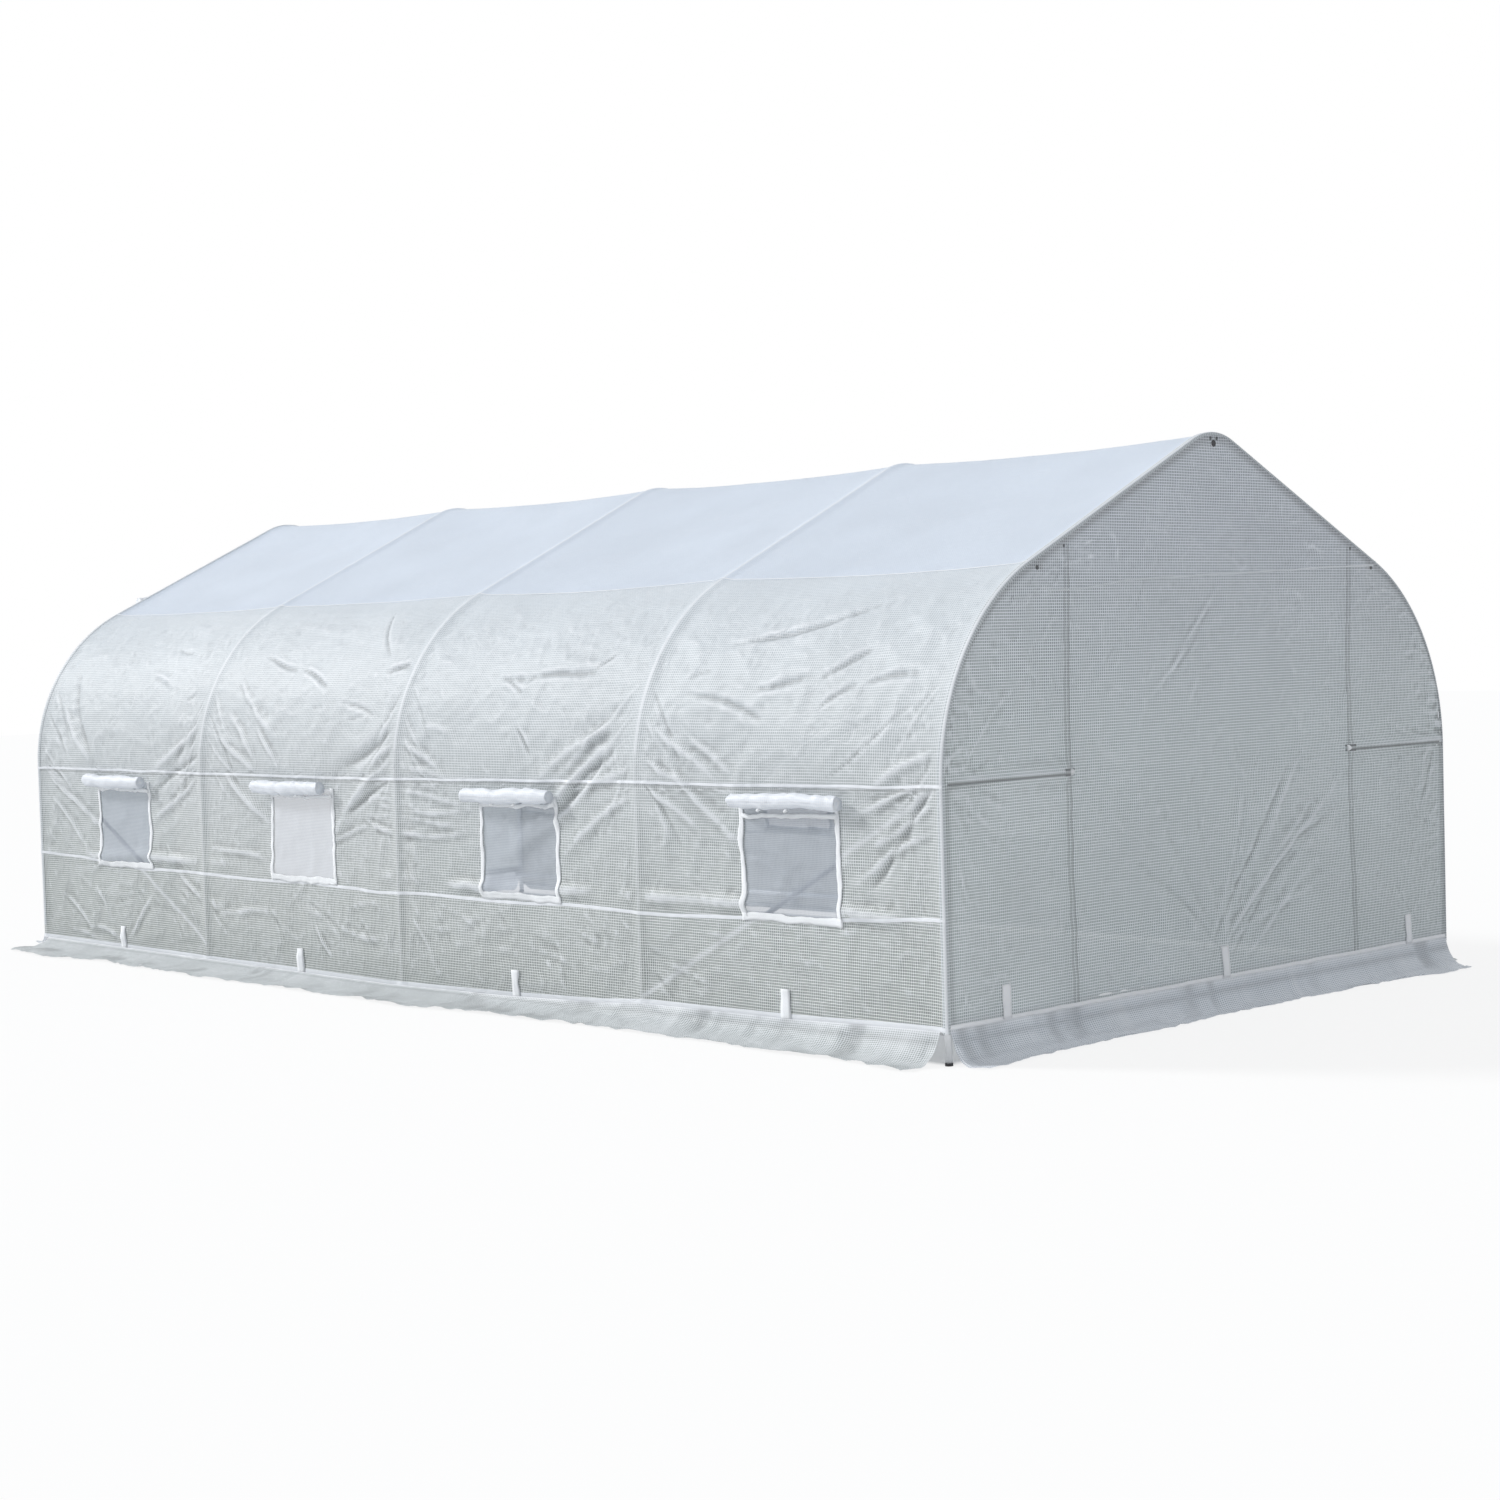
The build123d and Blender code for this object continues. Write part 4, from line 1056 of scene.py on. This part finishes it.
# %% A circle carried along a path
def tube_grid(path, radius, across, sides_count=20):
    """Grid of a tube: a circle square to the path at each of its points, with closed flat ends.

    across is a direction that is square to the whole path. radius is one number or one for each point.
    """
    path = np.asarray(path, float)
    radius = np.broadcast_to(radius, len(path)).astype(float)
    path = np.concatenate([path[:1], path[:1], path, path[-1:], path[-1:]])
    radius = np.concatenate([[0, radius[0] * 0.86], radius, [radius[-1] * 0.86, 0]])
    forward = np.gradient(path, axis=0)
    length = np.linalg.norm(forward, axis=1, keepdims=True)
    forward = np.where(length > 1e-9, forward / np.maximum(length, 1e-9), 0)
    forward[:2], forward[-2:] = forward[2], forward[-3]
    first = np.broadcast_to(np.asarray(across, float), path.shape)
    second = np.cross(forward, first)
    second /= np.maximum(np.linalg.norm(second, axis=1, keepdims=True), 1e-9)
    turn = np.linspace(0, 2 * np.pi, sides_count, endpoint=False)
    ring = np.cos(turn)[:, None] * first[:, None] + np.sin(turn)[:, None] * second[:, None]
    points = path[:, None] + ring * radius[:, None, None]
    way = np.concatenate([[0], np.cumsum(np.linalg.norm(np.diff(path, axis=0), axis=1))])
    uv = np.stack(np.broadcast_arrays(turn[None] * tube_radius, way[:, None]), axis=-1)
    return {"points": points, "uv": uv, "wrap": True}


def straight(start, stop, across, radius=tube_radius, steps=2):
    """Grid of a straight tube between two points."""
    part = np.linspace(0, 1, steps)[:, None]
    return tube_grid(np.asarray(start) * (1 - part) + np.asarray(stop) * part, radius, across)


def hoop_part(x, side, way_from, way_to, steps, radius=tube_radius):
    """Grid of a stretch of one hoop."""
    y, z, _, _ = hoop_outline(np.linspace(way_from, way_to, steps))
    return tube_grid(np.stack([np.full(steps, x), side * y, z], axis=-1), radius, (1, 0, 0))


def zinc_piece(name, grids, nodes=()):
    """A piece of the tube frame: zinc, with the points of its closed ends merged."""
    return make_piece(name, grids, zinc, nodes, merge=True)


# %% Hoops
shoulder_steps, ridge_steps = 32, 17
for side_name, side in sides.items():
    legs = [straight((x, side * leg_y, 0), (x, side * leg_y, bend_start), (1, 0, 0)) for x in hoop_x]
    zinc_piece(f"round_legs_{side_name}", legs, [f"leg_tubes_{side_name}"])
    shoulders = [hoop_part(x, side, rafter_to, bend_to, shoulder_steps) for x in hoop_x]
    zinc_piece(f"round_bends_{side_name}", shoulders, [f"shoulder_bends_{side_name}"])
    rafters = [hoop_part(x, side, rafter_from, rafter_to, 2) for x in hoop_x]
    zinc_piece(f"round_rafters_{side_name}", rafters, [f"rafters_{side_name}"])
ridge_ways = np.linspace(-rafter_from, rafter_from, ridge_steps)
ridge_y, ridge_z, _, _ = hoop_outline(np.abs(ridge_ways))
ridge_y = ridge_y * np.sign(ridge_ways)
ridge_tubes = [tube_grid(np.stack([np.full(ridge_steps, x), ridge_y, ridge_z], axis=-1), tube_radius, (1, 0, 0))
               for x in hoop_x]
zinc_piece("round_ridge_bends", ridge_tubes, ["ridge_bends"])


# %% Rails
def long_rail(y, z, half_gap=0.001):
    """Grids of a lengthways rail: one tube in each bay, with a small gap at the hoops."""
    starts = [-half_length] + [x + half_gap for x in hoop_x[1:-1]]
    stops = [x - half_gap for x in hoop_x[1:-1]] + [half_length]
    return [straight((a, y, z), (b, y, z), (0, 1, 0)) for a, b in zip(starts, stops)]


rail_y = leg_y - tube_width
ridge_rail_z = ridge_centre_z + ridge_radius - tube_width - 0.0001
zinc_piece("round_ridge_rail", long_rail(0, ridge_rail_z), ["ridge_purlin"])
for side_name, side in sides.items():
    for name, node, y, z in (("shoulder", "shoulder_purlin", shoulder_y, shoulder_z),
                             ("waist", "waist_rail", rail_y, waist_z), ("base", "base_rail", rail_y, base_z)):
        zinc_piece(f"round_{name}_rail_{side_name}", long_rail(side * y, z), [f"{node}_{side_name}"])

# %% End frames and braces
post_inset, into_leg, into_post = 0.0375, 0.012, 0.02
post_top = foot_z + (foot_y - post_y) * np.tan(pitch)
beside_posts = [(s * (post_y - into_post), s * (leg_y - into_leg)) for s in (-1, 1)]
base_spans = {1: [(into_leg - leg_y, leg_y - into_leg)], -1: beside_posts}
for end, end_name in end_names.items():
    post_x, plane_x = end * (half_length - post_inset), end * (half_length - tube_radius)
    posts = [straight((post_x, s * post_y, 0), (post_x, s * post_y, post_top), (1, 0, 0)) for s in (-1, 1)]
    zinc_piece(f"round_posts_{end_name}", posts, [f"end_posts_{end_name}"])
    for name, node, z, spans in (("cross_rails", f"cross_rails_{end_name}", cross_rail_z, beside_posts),
                                 ("base_rail", end_rails[end], end_rail_z, base_spans[end])):
        tubes = [straight((plane_x, start, z), (plane_x, stop, z), (1, 0, 0)) for start, stop in spans]
        zinc_piece(f"round_{name}_{end_name}", tubes, [node])


def brace_grid(top, bottom):
    """Grid of a brace: an ellipse carried along a line, round in the middle and pressed flat at its ends."""
    top, bottom = np.asarray(top), np.asarray(bottom)
    length = np.linalg.norm(bottom - top)
    radius, flat_half, wider, tip = 0.0095, 0.0020, 0.0045, 0.014
    way = np.array([-tip, -0.0135, -0.011, -0.006, 0.0, 0.04, 0.05, 0.06, 0.07])
    way = np.concatenate([way, [length / 2], length - way[::-1]])
    flat = np.clip((0.07 - np.minimum(way, length - way)) / 0.03, 0, 1)
    past = np.clip(-np.minimum(way, length - way) / tip, 0, 1)
    wide = (radius + flat * wider) * np.sqrt(1 - past**2)
    thick = radius + flat * (flat_half - radius)
    forward = (bottom - top) / length
    beside = np.cross(forward, (0, 1, 0))
    turn = np.linspace(0, 2 * np.pi, 20, endpoint=False)
    ring = (np.cos(turn)[None, :, None] * np.array([0, 1.0, 0]) * thick[:, None, None]
            + np.sin(turn)[None, :, None] * beside * wide[:, None, None])
    return {"points": top + way[:, None, None] * forward + ring, "wrap": True, "flip": True}


brace_y = rail_y - tube_radius - 0.002
for side_name, side in sides.items():
    pair = [brace_grid((end * (hoop_x[-1] - post_inset), side * brace_y, waist_z),
                       (end * hoop_x[3], side * brace_y, base_z)) for end in (-1, 1)]
    make_piece(f"round_braces_{side_name}", pair, shaded_brace_zinc,
               [f"corner_braces_{side_name}"], merge=True)

# %% Sleeves, plugs and bolts
sleeve_half, sleeve_radius = 0.022, tube_radius + 0.0006
sleeves = [hoop_part(x, side, way - sleeve_half, way + sleeve_half, 7, sleeve_radius)
           for x in hoop_x for side in sides.values() for way in (rafter_from, rafter_to, bend_to)]
zinc_piece("hoop_sleeves", sleeves)

rail_plug_radius, rail_plug_reach = 0.0128, 0.0010
foot_plug_radius, foot_plug_height = 0.0136, 0.010
plugs = [straight((end * half_length, y, z), (end * (half_length + rail_plug_reach), y, z), (0, 1, 0),
                  rail_plug_radius)
         for end in (-1, 1)
         for y, z in ((0, ridge_rail_z), (-shoulder_y, shoulder_z), (shoulder_y, shoulder_z))]
plugs += [straight((end * hoop_x[-1], side * leg_y, 0.0), (end * hoop_x[-1], side * leg_y, foot_plug_height),
                   (1, 0, 0), foot_plug_radius)
          for end in (-1, 1) for side in sides.values()]
make_piece("tube_plugs", plugs, black, merge=True)

nut_radius, nut_reach, ridge_nut_reach, shank_radius, shank_reach = 0.0062, 0.0045, 0.006, 0.0030, 0.0085
bolts = []
for x in hoop_x:
    for side in sides.values():
        inner = side * (rail_y - tube_radius)
        nut_face, shank_end = inner - side * nut_reach, inner - side * shank_reach
        for z in (waist_z, base_z):
            bolts.append(tube_grid([(x, inner, z), (x, nut_face, z)], nut_radius, (0, 0, 1), 6))
            bolts.append(tube_grid([(x, nut_face, z), (x, shank_end, z)], shank_radius, (0, 0, 1), 8))
under_ridge = ridge_rail_z - tube_radius
for x in hoop_x:
    nut_path = [(x, 0, under_ridge), (x, 0, under_ridge - ridge_nut_reach)]
    bolts.append(tube_grid(nut_path, nut_radius, (1, 0, 0), 6))
zinc_piece("rail_bolts", bolts)

# %% [markdown]
# ## Windows
# Each opening is closed with net, edged with tape that was sewn on by hand and is a little wavy, and covered
# in bad weather by a flap of film that is now rolled up above it. The flap is wound round itself, so the roll
# is lumpy and a little thinner at its ends, and two toggles hold it.

# %% Net in the openings
def on_wall(x, z, side, lift):
    """Point on the wall film at a position along the tunnel and a height, lifted off it by some way."""
    x, z = np.broadcast_arrays(np.asarray(x, float), np.asarray(z, float))
    way = way_at(z)
    height = side_height(x, way, side) + lift
    y, bent, out_y, out_z = hoop_outline(way, film_offset)
    return np.stack([x, side * (y + out_y * height), bent + out_z * height], axis=-1)


for side_name, side in sides.items():
    nets = []
    for middle in window_x:
        x, z = np.meshgrid(np.linspace(middle - window_half - 0.004, middle + window_half + 0.004, 32),
                           np.linspace(window_high + 0.004, window_low - 0.004, 28))
        points = on_wall(x, z, side, -0.001)
        nets.append({"points": points, "uv": np.stack([x, z], axis=-1), "flip": side > 0})
    piece = make_piece(f"window_nets_{side_name}", nets, net, [f"window_mesh_{side_name}"])


# %% Tape round the openings
def tape_strip(start, stop, width, side, seed, lift=0.0022, steps=40, wave=0.004):
    """Grid of a strip of tape on the wall from one (x, z) to another; its edges wander by a few millimetres."""
    start, stop = np.asarray(start, float), np.asarray(stop, float)
    along = (stop - start) / np.linalg.norm(stop - start)
    beside = np.array([-along[1], along[0]])
    part = np.linspace(0, 1, steps)[:, None]
    edge = np.linspace(-0.5, 0.5, 4)[None, :]
    run = np.linalg.norm(stop - start) * part
    shift = wave * hills(run, 0 * run, 0.06, seed) + wave * 0.5 * hills(run, 0 * run + 7, 0.024, seed)
    spread = width * (1 + 0.18 * hills(run, 0 * run + 3, 0.05, seed + 1))
    flat = start + (stop - start) * part[..., None] + beside * (edge * spread + shift)[..., None]
    raise_by = lift + 0.002 * np.abs(hills(run, edge * 0.05, 0.03, seed + 2))
    points = on_wall(flat[..., 0], flat[..., 1], side, raise_by)
    uv = np.stack(np.broadcast_arrays(run, edge * width), axis=-1)
    return {"points": points, "uv": uv, "flip": side > 0}


for side_name, side in sides.items():
    strips = []
    for k, middle in enumerate(window_x):
        left, right = middle - window_half - 0.010, middle + window_half + 0.010
        low, high = window_low - 0.012, window_high + 0.004
        strips.append(tape_strip((left, high), (left, low - 0.012), 0.022, side, 80 + k))
        strips.append(tape_strip((right, low - 0.012), (right, high), 0.022, side, 90 + k))
        strips.append(tape_strip((left - 0.012, low), (right + 0.012, low), 0.028, side, 100 + k))
        strips.append(tape_strip((right, 0.790), (left, 0.787), 0.016, side, 110 + k, lift=0.005, wave=0.006))
    make_piece(f"window_tapes_{side_name}", strips, tape, [f"window_borders_{side_name}"],
               thickness=0.0012)


# %% Rolled-up window flaps
def roll_grid(middle, length, radius, seed, squash):
    """The roll before it is placed: a wavy spiral-like tube with lumps, thinner towards its ends."""
    part = np.linspace(-1, 1, 72)[:, None]
    turn = np.linspace(0, 2 * np.pi, 36, endpoint=False)[None, :]
    run = part * length / 2
    lumps = hills(run + 0 * turn, np.cos(turn) * 0.05 + 0.2, 0.045, seed)
    lumps = lumps + 0.6 * hills(run + np.sin(turn) * 0.04, turn * 0.02, 0.02, seed + 1)
    layer = 0.0022 * ((turn / (2 * np.pi) + 0.35 * np.sin(run * 7 + seed)) % 1.0)
    ragged = np.clip(np.abs(part) * 12 - 11, 0, 1) * np.sign(part)
    run = run + ragged * (0.006 * hills(turn * 0.3, 0 * turn + part, 0.4, seed + 4) - 0.004)
    thick = radius * (1 - 0.09 * np.abs(part)**2) + 0.0034 * lumps + layer - 0.001
    drop = 0.003 * np.sin(run * 9 + seed) + 0.0015 * np.sin(run * 23)
    out = thick * np.cos(turn) * squash
    up = thick * np.sin(turn) + drop
    return run + middle, out, up, turn


def close_ends(values, centre):
    """Adds a ring at each end that is drawn together in one point."""
    return np.concatenate([np.full_like(values[:1], centre[0]), values, np.full_like(values[-1:], centre[1])])


def roll_points(middle, y, z, length, radius, seed, along_x=True, outward=-1.0, squash=0.85):
    """The closed grid of a roll that lies along X, or along Y for the door."""
    run, out, up, turn = roll_grid(middle, length, radius, seed, squash)
    run = np.broadcast_to(run, out.shape)
    run = close_ends(run, (run[0].mean() + 0.006, run[-1].mean() - 0.006))
    out = close_ends(out, (0, 0)) * outward
    up = close_ends(up, (up[0].mean(), up[-1].mean()))
    first, second = (run, y + out) if along_x else (y + out, run)
    points = np.stack([first, second, z + up], axis=-1)
    uv = np.stack([run, np.broadcast_to(turn * radius, run.shape)], axis=-1)
    return {"points": points, "uv": uv, "wrap": True, "flip": (outward > 0) != along_x}


# How far each roll lies beside its window's middle, its height, length and radius.
roll_lies = [(-0.030, 0.828, 0.520, 0.0295), (-0.050, 0.828, 0.516, 0.0295), (-0.025, 0.826, 0.540, 0.0290),
             (0.012, 0.841, 0.530, 0.0270)]
for side_name, side in sides.items():
    rolls = [roll_points(middle + beside, side * (leg_y + 0.039), high, length, radius, 130 + k, outward=side)
             for k, (middle, (beside, high, length, radius)) in enumerate(zip(window_x, roll_lies))]
    make_piece(f"window_rolls_{side_name}", rolls, rolled_film, [f"window_flaps_{side_name}"],
               merge=True)

# %% Toggles under the rolls
for side_name, side in sides.items():
    toggles = []
    for k, middle in enumerate(window_x):
        for place in (-0.105, 0.030):
            at = np.array([middle + place, side * (leg_y + 0.045), roll_lies[k][1] - roll_lies[k][3] - 0.003])
            tip = np.array([0.009, 0, 0.004])
            path = [at - tip, at - 0.9 * tip, at - 0.5 * tip, at + 0.5 * tip, at + 0.9 * tip, at + tip]
            toggles.append(tube_grid(path, [0.002, 0.0045, 0.0058, 0.0058, 0.0045, 0.002], (0, 1, 0), 12))
    make_piece(f"window_toggles_{side_name}", toggles, tape, merge=True)

# %% [markdown]
# ## Door, straps and seams
# The door is one large flap, rolled up over its opening. Short straps of tape are sewn to the foot of the
# film, for pegs, and a narrow hem of tape runs along the base of the ends. Along each weld the film is double,
# which shows as a pale line.

# %% Door roll and door tape
door_roll_z, door_roll_length, door_roll_radius = 1.672, 1.75, 0.052
door_roll = roll_points(0, -(half_length + 0.058), door_roll_z, door_roll_length, door_roll_radius, 171,
                        along_x=False, squash=0.95)
make_piece("rolled_door", [door_roll], rolled_film, ["door_roll"], merge=True)


def end_strip(start, stop, width, end, seed, lift=0.0035, steps=60):
    """Grid of a strip of tape on an end wall from one (y, z) to another."""
    start, stop = np.asarray(start, float), np.asarray(stop, float)
    along = (stop - start) / np.linalg.norm(stop - start)
    beside = np.array([-along[1], along[0]])
    part, edge = np.linspace(0, 1, steps)[:, None], np.linspace(-0.5, 0.5, 4)[None, :]
    run = np.linalg.norm(stop - start) * part
    shift = 0.002 * hills(run, 0 * run, 0.08, seed)
    flat = start + (stop - start) * part[..., None] + beside * (edge * width + shift)[..., None]
    out = half_length + lift + 0.001 * np.abs(hills(run, edge * 0.05, 0.04, seed + 1))
    out = out + end_height(flat[..., 0], flat[..., 1], end)[0]
    points = np.stack([end * np.broadcast_to(out, flat[..., 0].shape), flat[..., 0], flat[..., 1]], axis=-1)
    uv = np.stack(np.broadcast_arrays(run, edge * width), axis=-1)
    return {"points": points, "uv": uv, "flip": end < 0}


door_tape_y, door_tape_z, door_tape_width = door_half + 0.010, door_height + 0.012, 0.024
strips = [end_strip((s * door_tape_y, end_base_z), (s * door_tape_y, door_height + 0.02), door_tape_width, -1,
                    180 + s) for s in (-1, 1)]
strips.append(end_strip((-door_half - 0.02, door_tape_z), (door_half + 0.02, door_tape_z), door_tape_width, -1,
                        185))
make_piece("door_tapes", strips, tape, ["door_border"], thickness=0.0012)

# %% Ground straps
straps = []
for side in sides.values():
    for k, x in enumerate(strap_x):
        foot = np.interp(x, hem_x, hem_z) - 0.006
        straps.append(tape_strip((x, foot + 0.106), (x + 0.004, foot), 0.044, side, 190 + k, lift=0.003,
                                 steps=12, wave=0.001))
make_piece("strap_tapes", straps, tape, ["ground_straps"], thickness=0.002)
strap_places = {-1: (-end_strap_y, end_strap_y), 1: (-end_strap_y, 0.0, end_strap_y)}
straps = [end_strip((y, 0.236), (y + 0.003, 0.122), 0.042, end, 200, lift=0.005, steps=12)
          for end, places in strap_places.items() for y in places]
make_piece("end_strap_tapes", straps, lit_end_tape, thickness=0.002)
end_hem_z, hem_width, beside_door = 0.124, 0.015, 0.775
hems = [end_strip((-end_skirt_half, end_hem_z), (end_skirt_half, end_hem_z), hem_width, 1, 205, lift=0.0022,
                  steps=200)]
hems += [end_strip((s * beside_door, end_hem_z), (s * end_skirt_half, end_hem_z), hem_width, -1, 205 + s,
                   lift=0.0022) for s in (-1, 1)]
make_piece("end_base_hems", hems, lit_end_tape, thickness=0.001)


# %% Weld seams
def seam(side, way, width, lift=0.0012):
    """Grid of a welded seam along the whole side: a narrow band that follows the film under it."""
    x = columns[None, :]
    edge = np.linspace(-0.5, 0.5, 3)[:, None]
    way = np.broadcast_to(way, x.shape) + edge * width
    x = np.broadcast_to(x, way.shape)
    height = side_height(x, way, side) + lift + 0.0006 * (edge == 0)
    y, z, out_y, out_z = hoop_outline(way, film_offset)
    points = np.stack([x, side * (y + out_y * height), z + out_z * height], axis=-1)
    return {"points": points, "uv": np.stack([x, way], axis=-1), "flip": side > 0, "marks": {"press": 0.9}}


low_seam_x = [-3, -2.7, -2.2, 0, 2.0, 2.6, 3]
low_seam_z = np.interp(columns, low_seam_x, [0.470, 0.455, 0.425, 0.410, 0.420, 0.452, 0.470])
low_seam_z = low_seam_z + 0.004 * np.sin(columns * 7)
for side_name, side in sides.items():
    wavy = 0.0025 * hills(columns, 0 * columns + side, 0.17, 300)[None, :]
    seams = [seam(side, rafter_to + 0.006 * np.sin(columns[None, :] * 3.1) + wavy, 0.007),
             seam(side, way_at(np.interp(columns, seam_x, seam_z))[None, :] + wavy, 0.010, 0.0018),
             seam(side, way_at(low_seam_z)[None, :] + wavy, 0.013),
             seam(side, way_at(np.interp(columns, hem_x, hem_z))[None, :] - 0.006, 0.017)]
    make_piece(f"weld_seams_{side_name}", seams, rolled_film)


def end_seam(end, width=0.007):
    """Grid of the seam across an end wall, between its lower and its upper sheet."""
    y, edge = np.linspace(-0.955, 1.02, 160)[None, :], np.linspace(-0.5, 0.5, 3)[:, None]
    z = np.interp(y, [-0.955, -0.737, -0.512, -0.10, 0.996], [1.532, 1.539, 1.564, 1.581, 1.617])
    z = z + edge * width + 0.002 * hills(y, 0 * y, 0.12, 310)
    y = np.broadcast_to(y, z.shape).copy()
    out = half_length + 0.0027 + 0.0008 * (edge == 0) + end_height(y, z, end)[0]
    return {"points": np.stack([end * out, y, z], axis=-1), "uv": np.stack([y, z], axis=-1), "flip": end > 0,
            "marks": {"press": np.clip(0.55 + 0.35 * y, 0, 1)}}


for end, end_name in end_names.items():
    make_piece(f"end_seam_{end_name}", [end_seam(end)], hem_film)


# %% Hems over the end hoops
def hoop_hem(end):
    """Grid of the double film over an end hoop: a band carried along the outline, folded onto the end."""
    ways = np.concatenate([-np.linspace(base_way, 0, 110), np.linspace(0, base_way, 110)[1:]])
    y, z, out_y, out_z = hoop_outline(np.abs(ways), film_offset + 0.0008)
    sign = np.where(ways < 0, -1, 1)
    across = np.array([[-0.022, 0.0], [-0.012, 0.0006], [-0.007, 0.0014], [-0.001, 0.0012], [0.0032, -0.002],
                       [0.0034, -0.010]])
    x = end * (half_length + across[:, 0])[:, None] + 0 * ways
    push = across[:, 1][:, None]
    points = np.stack([x, sign * (y + out_y * push), z + out_z * push], axis=-1)
    uv = np.stack(np.broadcast_arrays(across[:, :1] * 1.0, ways[None, :]), axis=-1)
    marks = {"press": np.broadcast_to(np.array([0, 0, 1.0, 1.0, 0.3, 0])[:, None], x.shape)}
    return {"points": points, "uv": uv, "flip": end > 0, "marks": marks}


for end, end_name in end_names.items():
    make_piece(f"hoop_hem_{end_name}", [hoop_hem(end)], hem_film)

# %% [markdown]
# ## Floor, light and camera
# The tunnel stands on a plain pale floor, which glows where the camera sees it, and less inside the tunnel, so
# that it looks shaded in there. The world gives soft light from everywhere, and one wide soft sun
# over the left side brings out the folds and leaves the end wall a little darker. The camera stands where the
# photograph was taken: a little above the waist and near one corner.

# %% Floor and background
floor_mesh = bpy.data.meshes.new("floor")
floor_mesh.from_pydata([(-40, -40, 0), (40, -40, 0), (40, 40, 0), (-40, 40, 0)], [], [(0, 1, 2, 3)])
floor = bpy.data.objects.new("floor", floor_mesh)
scene.collection.objects.link(floor)
floor_material = bpy.data.materials.new("pale_floor")
floor_material.use_nodes = True
tree = floor_material.node_tree
tree.nodes["Principled BSDF"].inputs["Base Color"].default_value = (0.88, 0.88, 0.88, 1)
tree.nodes["Principled BSDF"].inputs["Roughness"].default_value = 0.9
tree.nodes["Principled BSDF"].inputs["Specular IOR Level"].default_value = 0.0
glow = tree.nodes.new("ShaderNodeEmission")
path = tree.nodes.new("ShaderNodeLightPath")
mix = tree.nodes.new("ShaderNodeMixShader")
seen = math(tree, "MAXIMUM", path.outputs["Is Camera Ray"], path.outputs["Is Glossy Ray"])
seen = math(tree, "MAXIMUM", seen, path.outputs["Is Transmission Ray"])
ground = tree.nodes.new("ShaderNodeSeparateXYZ")
tree.links.new(tree.nodes.new("ShaderNodeTexCoord").outputs["Object"], ground.inputs[0])
indoors = math(tree, "MULTIPLY", stripe(tree, ground.outputs["X"], 0, 2.95, 0.05),
               stripe(tree, ground.outputs["Y"], 0, 1.45, 0.05))
glow_share = math(tree, "SUBTRACT", 0.84, math(tree, "MULTIPLY", indoors, 0.64))
tree.links.new(math(tree, "MULTIPLY", seen, glow_share), mix.inputs[0])
tree.links.new(tree.nodes["Principled BSDF"].outputs[0], mix.inputs[1])
tree.links.new(glow.outputs[0], mix.inputs[2])
tree.links.new(mix.outputs[0], tree.nodes["Material Output"].inputs["Surface"])
floor_mesh.materials.append(floor_material)

world = bpy.data.worlds.new("soft_sky")
scene.world = world
world.use_nodes = True
tree = world.node_tree
sky = tree.nodes["Background"]
sky.inputs["Color"].default_value = (0.93, 0.96, 1.0, 1)
sky.inputs["Strength"].default_value = 0.60
bright = tree.nodes.new("ShaderNodeBackground")
bright.inputs["Color"].default_value = (1, 1, 1, 1)
path = tree.nodes.new("ShaderNodeLightPath")
mix = tree.nodes.new("ShaderNodeMixShader")
seen = math(tree, "MAXIMUM", path.outputs["Is Camera Ray"], path.outputs["Is Glossy Ray"])
tree.links.new(math(tree, "MAXIMUM", seen, path.outputs["Is Transmission Ray"]), mix.inputs[0])
tree.links.new(sky.outputs[0], mix.inputs[1])
tree.links.new(bright.outputs[0], mix.inputs[2])
tree.links.new(mix.outputs[0], tree.nodes["World Output"].inputs["Surface"])


# %% Lamp
sun = bpy.data.objects.new("soft_sun", bpy.data.lights.new("soft_sun", "SUN"))
sun.data.energy = 2.45
sun.data.angle = np.radians(12)
sun.rotation_euler = Vector((-0.72, -0.42, 0.56)).to_track_quat("Z", "Y").to_euler()
scene.collection.objects.link(sun)

# %% Camera
camera = bpy.data.objects.new("camera", bpy.data.cameras.new("camera"))
camera.data.sensor_width = 36
camera.data.lens = focal_pixels / photo_pixels * camera.data.sensor_width
camera.data.shift_y = (middle_pixel[1] - photo_pixels / 2) / photo_pixels
camera.data.clip_end = 200
placed = Matrix((camera_right, camera_up, -camera_forward)).transposed().to_4x4()
placed.translation = camera_at
camera.matrix_world = placed
scene.collection.objects.link(camera)
scene.camera = camera
scene.view_settings.view_transform = "Standard"
